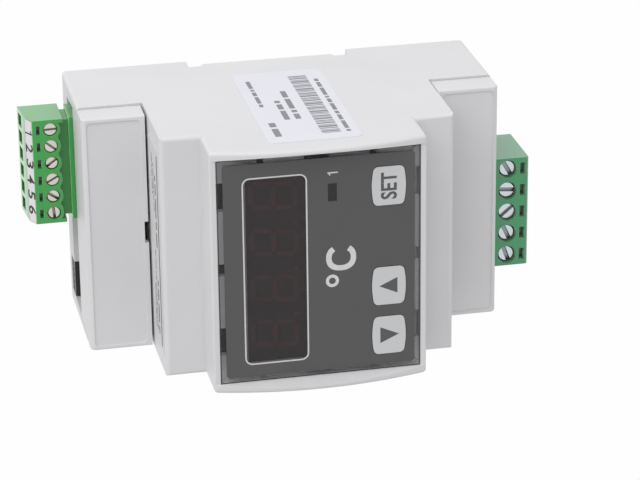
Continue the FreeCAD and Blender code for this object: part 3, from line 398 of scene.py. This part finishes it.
def milky_plastic(name, colour, size, low, high):
    """Milky plastic that light sinks into a little."""
    finish = Finish(name)
    finish.mottle(colour, depth=0.08, size=size)
    finish.rough(low, high, size=1 * MM)
    return finish.done(IOR=1.5, Subsurface_Weight=0.2)


def see_through(name, colour, cover, reflection):
    """A thin clear or smoked pane that hides a share of what lies behind it."""
    finish = Finish(name)
    finish.mottle(colour, depth=0.04, size=6 * MM)
    finish.rough(low=0.05, high=0.12, size=5 * MM)
    return finish.done(IOR=reflection, Alpha=cover)


def printed_film(name, colour, depth=0.03, low=0.4, high=0.5):
    """Printed plastic film with a very fine embossed grain."""
    finish = Finish(name)
    finish.mottle(colour, depth, size=8 * MM)
    finish.rough(low, high, size=3 * MM)
    finish.relief(finish.spots(0.22 * MM), depth=0.0025 * MM)
    return finish.done(IOR=1.5)


def ink(name, colour):
    """A thin layer of print with slightly uneven cover."""
    finish = Finish(name)
    finish.mottle(colour, depth=0.05, size=0.6 * MM)
    finish.rough(low=0.45, high=0.6, size=1 * MM)
    return finish.done(IOR=1.48)


def plated_metal(name, colour, low, high):
    """Plated metal with fine drawn lines."""
    finish = Finish(name)
    finish.mottle(colour, depth=0.06, size=0.9 * MM)
    finish.rough(low, high, size=0.7 * MM)
    finish.relief(finish.spots(0.16 * MM, stretch=(1.0, 0.12, 1.0)), depth=0.003 * MM)
    return finish.done(Metallic=1.0)


def turned_metal(name, colour, slot_shade=0.3):
    """A screw's plated metal, with turned lines on its head and painted shade that darkens it behind the
    head's front, in its slot.
    """
    finish = Finish(name)
    place = finish.node("ShaderNodeTexCoord")
    parts = finish.node("ShaderNodeSeparateXYZ")
    finish.link(place.outputs["Generated"], parts.inputs["Vector"])
    # painted shade: behind the front of the head the metal turns darker, so the slot reads as shaded
    shaded_colour = tuple(c * slot_shade for c in colour)
    depth_colour = finish.blend(parts.outputs["Y"], colour, shaded_colour, start=0.03, end=0.12)
    finish.link(depth_colour, finish.surface.inputs["Base Color"])
    finish.rough(low=0.16, high=0.3, size=0.7 * MM)
    middle = finish.node("ShaderNodeMapping", Location=(-0.5, -0.5, -0.5))
    rings = finish.node("ShaderNodeTexWave", Scale=9.0, Distortion=1.2, Detail=2.0)
    rings.wave_type = "RINGS"
    rings.rings_direction = "Y"
    finish.link(place.outputs["Generated"], middle.inputs["Vector"])
    finish.link(middle.outputs["Vector"], rings.inputs["Vector"])
    finish.relief(rings.outputs["Fac"], depth=0.003 * MM)
    return finish.done(Metallic=1.0)


def laminate(name, colour, dull=0.86, bright=1.9, lift=0.02):
    """Circuit board: lacquer over glass weave with paler copper runs."""
    finish = Finish(name)
    place = finish.node("ShaderNodeTexCoord")
    second = tuple(c * dull for c in colour)
    copper = tuple(min(1.0, c * bright + lift) for c in colour)
    runs = finish.node("ShaderNodeTexBrick", Scale=420.0, Mortar_Size=0.03, Color1=(*colour, 1.0),
                       Color2=(*second, 1.0), Mortar=(*copper, 1.0))
    finish.link(place.outputs["Object"], runs.inputs["Vector"])
    finish.link(runs.outputs["Color"], finish.surface.inputs["Base Color"])
    finish.rough(low=0.28, high=0.42, size=2 * MM)
    finish.relief(finish.spots(0.4 * MM, detail=1.0), depth=0.006 * MM)
    return finish.done(IOR=1.5)


def lacquer(name, colour, low=0.25, high=0.4):
    """A dipped or wound part with an uneven coat."""
    finish = Finish(name)
    finish.mottle(colour, depth=0.12, size=1.6 * MM)
    finish.rough(low, high, size=1.2 * MM)
    finish.relief(finish.spots(1.1 * MM), depth=0.03 * MM)
    return finish.done(IOR=1.5)


# shapes


def piece_from(mesh, name, body, finish):
    """A new piece from a mesh in the row frame, riding on its body."""
    piece = bpy.data.objects.new(name, mesh)
    bpy.context.scene.collection.objects.link(piece)
    mesh.materials.clear()
    mesh.materials.append(finish)
    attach(piece, body)
    return piece


def dress(finish, *nodes):
    """Gives CAD nodes their finish."""
    for name in nodes:
        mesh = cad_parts[name].data
        mesh.materials.clear()
        mesh.materials.append(finish)


def softened(node, body, finish, width):
    """Replaces a CAD piece by a copy with its sharp edges rounded over."""
    work = bmesh.new()
    work.from_mesh(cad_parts[node].data)
    bmesh.ops.remove_doubles(work, verts=work.verts, dist=WELD_DISTANCE)
    bmesh.ops.dissolve_limit(work, angle_limit=FLAT_ANGLE, verts=work.verts, edges=work.edges)
    mesh = bpy.data.meshes.new(node + "_moulded")
    work.to_mesh(mesh)
    work.free()
    if "custom_normal" in mesh.attributes:
        mesh.attributes.remove(mesh.attributes["custom_normal"])
    piece = piece_from(mesh, node + "_moulded", body, finish)
    for polygon in mesh.polygons:
        polygon.use_smooth = True
    bevel = piece.modifiers.new("round over", "BEVEL")
    bevel.width = width
    bevel.segments = ROUND_STEPS
    bevel.limit_method = "ANGLE"
    bevel.angle_limit = SHARP_ANGLE
    bevel.use_clamp_overlap = True
    weights = piece.modifiers.new("even shading", "WEIGHTED_NORMAL")
    weights.keep_sharp = True
    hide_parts(node)


class Patch:
    """A flat place on the object, with its own across and upward directions."""

    def __init__(self, origin, across, upward):
        self.origin = Vector(origin)
        self.across = Vector(across).normalized()
        self.upward = Vector(upward).normalized()
        self.out = self.across.cross(self.upward)

    def at(self, u, v, w=0.0):
        return self.origin + self.across * u + self.upward * v + self.out * w


def front_of(node):
    """The patch on a node's front face, whose middle is the row frame's own middle."""
    low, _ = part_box(node)
    return Patch((0.0, low.y, 0.0), RIGHT, UP)


def printed(patch, name, outlines, thickness, body, slot, finish, sink=PRINT_SINK):
    """Thin print on a patch: each outline is a list of (across, up) points, or an outer and inner pair."""
    work = bmesh.new()

    def raised(outline, height):
        return [work.verts.new(patch.at(u, v, height)) for u, v in outline]

    def wall(low, high):
        for i in range(len(low)):
            j = (i + 1) % len(low)
            work.faces.new((low[i], low[j], high[j], high[i]))

    for outline in outlines:
        if isinstance(outline, tuple):
            low = [raised(edge, -sink) for edge in outline]
            high = [raised(edge, thickness) for edge in outline]
            wall(low[0], high[0])
            wall(high[0], high[1])
            wall(high[1], low[1])
            wall(low[1], low[0])
        else:
            low = raised(outline, -sink)
            high = raised(outline, thickness)
            work.faces.new(high)
            work.faces.new(low[::-1])
            wall(low, high)
    bmesh.ops.recalc_face_normals(work, faces=work.faces)
    mesh = bpy.data.meshes.new(name)
    work.to_mesh(mesh)
    work.free()
    piece_from(mesh, name, body, finish)


def lettered(patch, name, words, centre, size, thickness, body, slot, finish, weight):
    """Words on a patch, stretched to fill a box of that size about a centre."""
    curve = bpy.data.curves.new(name + "_line", "FONT")
    curve.body = words
    curve.extrude = LETTER_DEPTH
    curve.offset = weight
    curve.resolution_u = LETTER_STEPS
    holder = bpy.data.objects.new(name + "_line", curve)
    bpy.context.scene.collection.objects.link(holder)
    bpy.context.view_layer.update()
    mesh = bpy.data.meshes.new_from_object(holder.evaluated_get(bpy.context.evaluated_depsgraph_get()))
    bpy.data.objects.remove(holder)
    bpy.data.curves.remove(curve)
    if not mesh.vertices:
        raise RuntimeError(f"the words of {name} have no shape")
    low = Vector([min(v.co[k] for v in mesh.vertices) for k in range(3)])
    high = Vector([max(v.co[k] for v in mesh.vertices) for k in range(3)])
    middle = (low + high) / 2
    for vertex in mesh.vertices:
        u = (vertex.co.x - middle.x) / (high.x - low.x) * size[0] + centre[0]
        v = (vertex.co.y - middle.y) / (high.y - low.y) * size[1] + centre[1]
        vertex.co = patch.at(u, v, thickness if vertex.co.z > 0 else -LETTER_SINK * thickness)
    mesh.name = name
    piece_from(mesh, name, body, finish)


def bar(left, bottom, right, top):
    """The outline of an upright rectangle."""
    return [(left, bottom), (right, bottom), (right, top), (left, top)]


def rounded_box(left, bottom, right, top, radius):
    """The outline of a rectangle with round corners, counter-clockwise."""
    points = []
    corners = ((right - radius, bottom + radius, -90), (right - radius, top - radius, 0),
               (left + radius, top - radius, 90), (left + radius, bottom + radius, 180))
    for u, v, start in corners:
        for i in range(CORNER_STEPS + 1):
            angle = math.radians(start + 90 * i / CORNER_STEPS)
            points.append((u + radius * math.cos(angle), v + radius * math.sin(angle)))
    return points


def ring(u, v, radius):
    """The outline of a circle, counter-clockwise."""
    turns = [2 * math.pi * i / RING_STEPS for i in range(RING_STEPS)]
    return [(u + radius * math.cos(t), v + radius * math.sin(t)) for t in turns]


def open_ring(place, half_size, stroke, gap):
    """The outline of a bow that is open to the right, like the letter C."""
    u, v = place
    half_wide, half_tall = half_size
    arc = 2 * (math.pi - gap)
    turns = [gap + arc * i / BOW_STEPS for i in range(BOW_STEPS + 1)]

    def fuller(share):
        return math.copysign(abs(share) ** BOW_FULLNESS, share)

    def bow(wide, tall):
        return [(u + wide * fuller(math.cos(t)), v + tall * fuller(math.sin(t))) for t in turns]

    return bow(half_wide, half_tall) + bow(half_wide - stroke, half_tall - stroke)[::-1]


def figure_one(u, v, height):
    """The outline of the figure 1 about a centre."""
    return [(u + across * height, v + up * height) for across, up in FIGURE_ONE]


def arrow(place, width, height):
    """The outline of a triangle on the middle of its base, hanging down if its height is negative."""
    u, v = place
    return [(u - width / 2, v), (u + width / 2, v), (u, v + height)]


def dashes(rows, wide, tall):
    """Rows of plain dashes of mixed lengths, on a field of that size."""
    plates = []
    for row, (level, height, start, end) in enumerate(rows):
        height *= tall
        level *= tall
        place = start * wide
        count = row
        while place + height * DASH_LENGTHS[count % len(DASH_LENGTHS)] < end * wide:
            length = height * DASH_LENGTHS[count % len(DASH_LENGTHS)]
            plates.append(bar(place, level - height / 2, place + length, level + height / 2))
            place += length + height * DASH_GAP
            count += 1
    return plates


def stripes(field, wide, tall, stroke):
    """Upright stripes of mixed widths that fill a field, whose sides are shares of that size."""
    left, bottom, right, top = field
    plates = []
    place = left * wide
    count = 0
    while place + max(STRIPE_WIDTHS) * stroke < right * wide:
        width = stroke * STRIPE_WIDTHS[count % len(STRIPE_WIDTHS)]
        plates.append(bar(place, bottom * tall, place + width, top * tall))
        place += width + stroke * STRIPE_GAPS[count % len(STRIPE_GAPS)]
        count += 1
    return plates


# operators


class CONTROLLER_OT_stage(bpy.types.Operator):
    """Floor, soft light and camera"""
    bl_idname = "controller.stage"
    bl_label = "Stage"

    def execute(self, context):
        values = context.scene.controller_stage
        context.scene.view_settings.view_transform = "Standard"
        self.floor(context, values)
        self.sky(context, values)
        self.lamp(context, values)
        self.camera(context, values)
        return {"FINISHED"}

    def white_for_sight(self, tree):
        """A factor that is one for rays that show the background."""
        path = tree.nodes.new("ShaderNodeLightPath")
        total = path.outputs["Is Camera Ray"]
        for kind in ("Is Glossy Ray", "Is Transmission Ray"):
            larger = tree.nodes.new("ShaderNodeMath")
            larger.operation = "MAXIMUM"
            tree.links.new(total, larger.inputs[0])
            tree.links.new(path.outputs[kind], larger.inputs[1])
            total = larger.outputs[0]
        return total

    def floor(self, context, values):
        mesh = bpy.data.meshes.new("floor")
        reach = values.floor_reach
        corners = [(x, y, -values.floor_drop) for x, y in bar(-reach, -reach, reach, reach)]
        mesh.from_pydata(corners, [], [range(len(corners))])
        floor = bpy.data.objects.new("floor", mesh)
        context.scene.collection.objects.link(floor)
        finish = Finish("pale_floor")
        finish.mottle(tuple(values.floor_colour), depth=0.01, size=0.4)
        glow = finish.node("ShaderNodeEmission", Strength=1.0)
        share = finish.node("ShaderNodeMath")
        share.operation = "MULTIPLY"
        share.inputs[1].default_value = FLOOR_GLOW
        finish.link(self.white_for_sight(finish.tree), share.inputs[0])
        mix = finish.node("ShaderNodeMixShader")
        finish.link(share.outputs[0], mix.inputs["Fac"])
        finish.link(finish.surface.outputs["BSDF"], mix.inputs[1])
        finish.link(glow.outputs["Emission"], mix.inputs[2])
        finish.link(mix.outputs["Shader"], finish.tree.nodes["Material Output"].inputs["Surface"])
        mesh.materials.append(finish.done(Roughness=0.9, Specular_IOR_Level=0.0))

    def sky(self, context, values):
        world = bpy.data.worlds.new("soft_sky")
        world.use_nodes = True
        tree = world.node_tree
        tree.nodes.clear()
        out = tree.nodes.new("ShaderNodeOutputWorld")
        light = tree.nodes.new("ShaderNodeBackground")
        seen = tree.nodes.new("ShaderNodeBackground")
        mix = tree.nodes.new("ShaderNodeMixShader")
        light.inputs["Color"].default_value = (*WHITE, 1.0)
        light.inputs["Strength"].default_value = values.sky_level
        seen.inputs["Color"].default_value = (*WHITE, 1.0)
        tree.links.new(self.white_for_sight(tree), mix.inputs["Fac"])
        tree.links.new(light.outputs["Background"], mix.inputs[1])
        tree.links.new(seen.outputs["Background"], mix.inputs[2])
        tree.links.new(mix.outputs["Shader"], out.inputs["Surface"])
        context.scene.world = world

    def lamp(self, context, values):
        data = bpy.data.lights.new("soft_lamp", "AREA")
        data.shape = "SQUARE"
        data.size = values.lamp_size
        data.energy = values.lamp_power
        lamp = bpy.data.objects.new("soft_lamp", data)
        lamp.location = values.lamp_place
        lamp.rotation_euler = (-Vector(values.lamp_place)).to_track_quat("-Z", "Y").to_euler()
        context.scene.collection.objects.link(lamp)

    def camera(self, context, values):
        data = bpy.data.cameras.new("camera")
        data.sensor_width = FILM_WIDTH
        data.lens = values.camera_reach * FILM_WIDTH / IMAGE_WIDTH
        data.clip_start = SIGHT_START
        data.clip_end = SIGHT_END
        camera = bpy.data.objects.new("camera", data)
        forward = Vector(values.camera_forward).normalized()
        right = forward.cross(Vector(values.camera_up)).normalized()
        upward = right.cross(forward)
        turn = Matrix((right, upward, -forward)).transposed().to_4x4()
        camera.matrix_world = Matrix.Translation(values.camera_place) @ turn
        context.scene.collection.objects.link(camera)
        context.scene.camera = camera


class CONTROLLER_OT_mouldings(bpy.types.Operator):
    """Case, covers, back and rail clip"""
    bl_idname = "controller.mouldings"
    bl_label = "Case mouldings"

    def execute(self, context):
        values = context.scene.controller_mouldings
        grain = (values.grain_size, values.grain_depth)
        shell = moulded_plastic("shell_grey", tuple(values.shell_colour), *grain)
        back = moulded_plastic("base_grey", tuple(values.base_colour), *grain)
        clip = moulded_plastic("clip_grey", tuple(values.clip_colour), *grain)
        for node in ("housing", "terminal_cover_top", "terminal_cover_bottom"):
            softened(node, "enclosure", shell, values.edge_round)
        softened("rear_base", "enclosure", back, values.edge_round)
        softened("din_clip", "din_clip", clip, values.edge_round)
        return {"FINISHED"}


class CONTROLLER_OT_front(bpy.types.Operator):
    """Clear panel, printed foil and smoked window"""
    bl_idname = "controller.front"
    bl_label = "Front panel"

    def execute(self, context):
        values = context.scene.controller_front
        clear = see_through("panel_clear", tuple(values.clear_colour), values.clear_cover, reflection=1.5)
        foil = printed_film("foil_grey", tuple(values.foil_colour))
        smoke = see_through("window_smoke", tuple(values.smoke_colour), values.smoke_cover,
                            reflection=1.56)
        dress(clear, "front_panel")
        dress(foil, "overlay_foil")
        dress(smoke, "display_filter")
        self.foil_print(values)
        self.panel_edge(values)
        self.lamp_pane(values, smoke)
        return {"FINISHED"}

    def foil_print(self, values):
        """Line round the window, unit sign and the figure by the lamp."""
        light = ink("print_light", tuple(values.print_colour))
        patch = front_of("overlay_foil")
        left, bottom = values.line_low
        right, top = values.line_high
        width, corner = values.line_width, values.line_corner
        inner = (left + width, bottom + width, right - width, top - width, corner - width)
        marks = {
            "window_line": (rounded_box(left, bottom, right, top, corner), rounded_box(*inner)),
            "degree_mark": (ring(*values.degree_place, values.degree_outer),
                            ring(*values.degree_place, values.degree_inner)),
            "unit_mark": open_ring(values.unit_place, values.unit_half, values.unit_stroke,
                                   values.unit_gap),
            "lamp_mark": figure_one(*values.figure_place, values.figure_height),
        }
        for name, outline in marks.items():
            printed(patch, name, [outline], values.print_thickness, "enclosure", "foil_print", light)

    def panel_edge(self, values):
        """Painted shade: a dark line round the clear panel, where the gap at its edge lies in shade."""
        dark = ink("painted_gap_shade", tuple(values.edge_colour))
        low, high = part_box("front_panel")
        edge = values.edge_width
        rim = (bar(low.x, low.z, high.x, high.z),
               bar(low.x + edge, low.z + edge, high.x - edge, high.z - edge))
        printed(front_of("front_panel"), "panel_edge", [rim], values.print_thickness, "enclosure",
                "panel_clear", dark)

    def lamp_pane(self, values, smoke):
        """Smoked pane behind the foil's face, over the lamp."""
        low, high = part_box("indicator_led")
        pane = bar(low.x, low.z, high.x, high.z)
        thick = values.print_thickness
        printed(front_of("overlay_foil"), "lamp_pane", [pane], -PANE_FRONT * thick, "enclosure",
                "filter_smoke", smoke, sink=PANE_BACK * thick)


class CONTROLLER_OT_display(bpy.types.Operator):
    """Four unlit digits and the lamp"""
    bl_idname = "controller.display"
    bl_label = "Display"

    def execute(self, context):
        values = context.scene.controller_display
        case = moulded_plastic("digit_case", tuple(values.face_colour), **SMALL_GRAIN, low=0.3, high=0.4)
        segment = milky_plastic("digit_bar", tuple(values.bar_colour), size=2 * MM, low=0.3, high=0.42)
        lens = milky_plastic("lamp_lens", tuple(values.lens_colour), size=1 * MM, low=0.2, high=0.32)
        dress(case, "display_module")
        dress(segment, "display_segments")
        dress(lens, "indicator_led")
        return {"FINISHED"}


class CONTROLLER_OT_keys(bpy.types.Operator):
    """Three keys with their signs, plungers and switches"""
    bl_idname = "controller.keys"
    bl_label = "Keys"

    def execute(self, context):
        values = context.scene.controller_keys
        thick = context.scene.controller_front.print_thickness
        pad = printed_film("key_grey", tuple(values.pad_colour), depth=0.015)
        sign = ink("key_sign", tuple(values.sign_colour))
        black = moulded_plastic("switch_black", tuple(values.switch_colour), **SMALL_GRAIN)
        dress(pad, "set_key", "up_key", "down_key")
        dress(black, "set_plunger", "up_plunger", "down_plunger", "key_switches")
        low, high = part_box("set_key")
        middle = (low + high) / 2
        lettered(front_of("set_key"), "set_sign", "SET", (middle.x, middle.z), values.word_size, thick,
                 "set_key", "key_print", sign, SIGN_WEIGHT)
        rise = arrow(values.up_place, values.up_size[0], values.up_size[1])
        fall = arrow(values.down_place, values.down_size[0], -values.down_size[1])
        printed(front_of("up_key"), "up_sign", [rise], thick, "up_key", "key_print", sign)
        printed(front_of("down_key"), "down_sign", [fall], thick, "down_key", "key_print", sign)
        return {"FINISHED"}


class CONTROLLER_OT_plugs(bpy.types.Operator):
    """Two screw terminal plugs and their sockets"""
    bl_idname = "controller.plugs"
    bl_label = "Plugs"

    def execute(self, context):
        values = context.scene.controller_plugs
        # the plugs' finish, with painted shade in their hollows
        look = {"low": 0.12, "high": 0.2, "reflection": 1.56, "sheen": 1.0,
                "tint": tuple(values.sheen_tint), "reach": values.hollow_reach,
                "shade_tone": tuple(values.deep_colour)}
        bright = moulded_plastic("input_green", tuple(values.input_colour), **SMALL_GRAIN, **look)
        dull = moulded_plastic("output_green", tuple(values.output_colour), **SMALL_GRAIN, **look)
        softened("input_plug", "input_plug", bright, values.edge_round)
        softened("input_header", "enclosure", bright, values.edge_round)
        softened("output_plug", "output_plug", dull, values.edge_round)
        softened("output_header", "enclosure", dull, values.edge_round)
        return {"FINISHED"}


class CONTROLLER_OT_clamps(bpy.types.Operator):
    """Screws, clamps, contacts and pins"""
    bl_idname = "controller.clamps"
    bl_label = "Screws and clamps"

    def execute(self, context):
        values = context.scene.controller_clamps
        screws = {"input": turned_metal("screw_nickel", tuple(values.input_screw_colour)),
                  "output": turned_metal("screw_zinc", tuple(values.output_screw_colour))}
        cage = plated_metal("cage_zinc", tuple(values.cage_colour), low=0.28, high=0.42)
        contact = plated_metal("contact_tin", tuple(values.contact_colour), low=0.22, high=0.34)
        dress(contact, "input_contacts", "output_contacts", "input_pins", "output_pins")
        for side, ways in (("input", INPUT_WAYS), ("output", OUTPUT_WAYS)):
            for way in ways:
                name = f"{side}_screw_{way}"
                softened(name, name, screws[side], values.edge_round)
                dress(cage, f"{side}_cage_{way}")
        return {"FINISHED"}


class CONTROLLER_OT_labels(bpy.types.Operator):
    """Number strip, side label and step labels"""
    bl_idname = "controller.labels"
    bl_label = "Labels"

    def execute(self, context):
        values = context.scene.controller_labels
        thick = context.scene.controller_front.print_thickness
        strip = printed_film("strip_white", tuple(values.strip_colour), depth=0.02)
        paper = printed_film("label_paper", tuple(values.paper_colour), depth=0.01, low=0.5, high=0.6)
        plate = printed_film("step_label", tuple(values.step_colour), depth=0.02, low=0.4, high=0.55)
        dress(strip, "number_strip")
        dress(paper, "side_label")
        dress(plate, "step_labels")
        self.numbers(values, thick)
        self.side_print(values, thick)
        self.step_print(values, thick)
        return {"FINISHED"}

    def numbers(self, values, thick):
        """The ways' numbers on the slanted face of the strip."""
        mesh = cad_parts["number_strip"].data
        faces = [p for p in mesh.polygons if p.normal.y < -SLANT and p.normal.z > SLANT]
        face = max(faces, key=lambda p: p.area)
        corners = [mesh.vertices[i].co for i in face.vertices]
        low = min(corners, key=lambda c: c.z)
        high = max(corners, key=lambda c: c.z)
        first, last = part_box("number_strip")
        middle = Vector(((first.x + last.x) / 2, (low.y + high.y) / 2, (low.z + high.z) / 2))
        patch = Patch(middle, -RIGHT, -face.normal.cross(RIGHT))
        black = ink("strip_ink", tuple(values.ink_colour))
        rest = (thick, "input_plug", "strip_white", black)
        for way in INPUT_WAYS:
            place = (way - (INPUT_WAYS[0] + INPUT_WAYS[-1]) / 2) * values.digit_pitch
            name = f"way_number_{way}"
            if way == 1:
                printed(patch, name, [figure_one(place, 0.0, values.digit_height)], *rest)
            else:
                size = (values.digit_width, values.digit_height)
                lettered(patch, name, str(way), (place, 0.0), size, *rest, DIGIT_WEIGHT)

    def side_print(self, values, thick):
        """Dashes and stripes on the side label."""
        low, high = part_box("side_label")
        patch = Patch((high.x, (low.y + high.y) / 2, (low.z + high.z) / 2), BACK, UP)
        grey = ink("label_rule", tuple(values.rule_colour))
        wide, tall = high.y - low.y, high.z - low.z
        plates = dashes(LABEL_ROWS, wide, tall) + stripes(STRIPE_FIELD, wide, tall, values.stroke)
        printed(patch, "label_print", plates, thick, "enclosure", "label_paper", grey)

    def step_print(self, values, thick):
        """Painted shade as a dark line along each label's front edge, and dashes on both steps."""
        low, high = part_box("step_labels")
        grey = ink("step_ink", tuple(values.step_ink_colour))
        middle = (low.y + high.y) / 2
        half_x = (high.x - low.x) / 2 - values.step_border
        half_y = (high.y - low.y) / 2 - values.step_border
        # painted shade: the dark line along the front edge
        line = bar(-half_x, -half_y, half_x, values.step_line - half_y)
        plates = [line] + dashes(STEP_ROWS, half_x, half_y)
        for name, z, upward in (("upper", high.z, BACK), ("lower", low.z, -BACK)):
            patch = Patch((0.0, middle, z), RIGHT, upward)
            printed(patch, f"{name}_step_print", plates, thick, "enclosure", "step_label_print", grey)


class CONTROLLER_OT_inner(bpy.types.Operator):
    """Boards and parts inside the case"""
    bl_idname = "controller.inner"
    bl_label = "Inner parts"

    def execute(self, context):
        values = context.scene.controller_inner
        board = laminate("board_green", tuple(values.board_colour))
        dress(board, "display_board", "link_board", "main_board")
        dress(lacquer("transformer_core", tuple(values.core_colour)), "transformer")
        dress(lacquer("capacitor_sleeve", tuple(values.can_colour), low=0.2, high=0.3), "capacitor")
        dress(lacquer("varistor_coat", tuple(values.coat_colour)), "varistor")
        mouldings = {
            "relay": ("relay_case", values.relay_colour),
            "controller_chip": ("chip_black", values.chip_colour),
            "service_socket": ("socket_black", values.socket_colour),
        }
        for node, (name, colour) in mouldings.items():
            dress(moulded_plastic(name, tuple(colour), **BOARD_GRAIN), node)
        return {"FINISHED"}


class CONTROLLER_PT_looks(bpy.types.Panel):
    """Builds the controller's looks, piece by piece"""
    bl_idname = "CONTROLLER_PT_looks"
    bl_label = "Controller looks"
    bl_space_type = "VIEW_3D"
    bl_region_type = "UI"
    bl_category = "Controller"

    def draw(self, context):
        for operator, group in STEPS:
            box = self.layout.box()
            box.operator(operator.bl_idname)
            for key in SETTINGS[group].__annotations__:
                box.prop(getattr(context.scene, group), key)


SETTINGS = {
    "controller_stage": StageSettings,
    "controller_mouldings": MouldingSettings,
    "controller_front": FrontSettings,
    "controller_display": DisplaySettings,
    "controller_keys": KeySettings,
    "controller_plugs": PlugSettings,
    "controller_clamps": ClampSettings,
    "controller_labels": LabelSettings,
    "controller_inner": InnerSettings,
}
STEPS = (
    (CONTROLLER_OT_stage, "controller_stage"),
    (CONTROLLER_OT_mouldings, "controller_mouldings"),
    (CONTROLLER_OT_front, "controller_front"),
    (CONTROLLER_OT_display, "controller_display"),
    (CONTROLLER_OT_keys, "controller_keys"),
    (CONTROLLER_OT_plugs, "controller_plugs"),
    (CONTROLLER_OT_clamps, "controller_clamps"),
    (CONTROLLER_OT_labels, "controller_labels"),
    (CONTROLLER_OT_inner, "controller_inner"),
)


def register():
    for name, group in SETTINGS.items():
        bpy.utils.register_class(group)
        setattr(bpy.types.Scene, name, PointerProperty(type=group))
    for operator, _ in STEPS:
        bpy.utils.register_class(operator)
    bpy.utils.register_class(CONTROLLER_PT_looks)


def unregister():
    bpy.utils.unregister_class(CONTROLLER_PT_looks)
    for operator, _ in reversed(STEPS):
        bpy.utils.unregister_class(operator)
    for name, group in reversed(list(SETTINGS.items())):
        delattr(bpy.types.Scene, name)
        bpy.utils.unregister_class(group)


def main():
    register()
    for operator, _ in STEPS:
        family, name = operator.bl_idname.split(".")
        getattr(getattr(bpy.ops, family), name)()


if __name__ == "__main__":
    main()
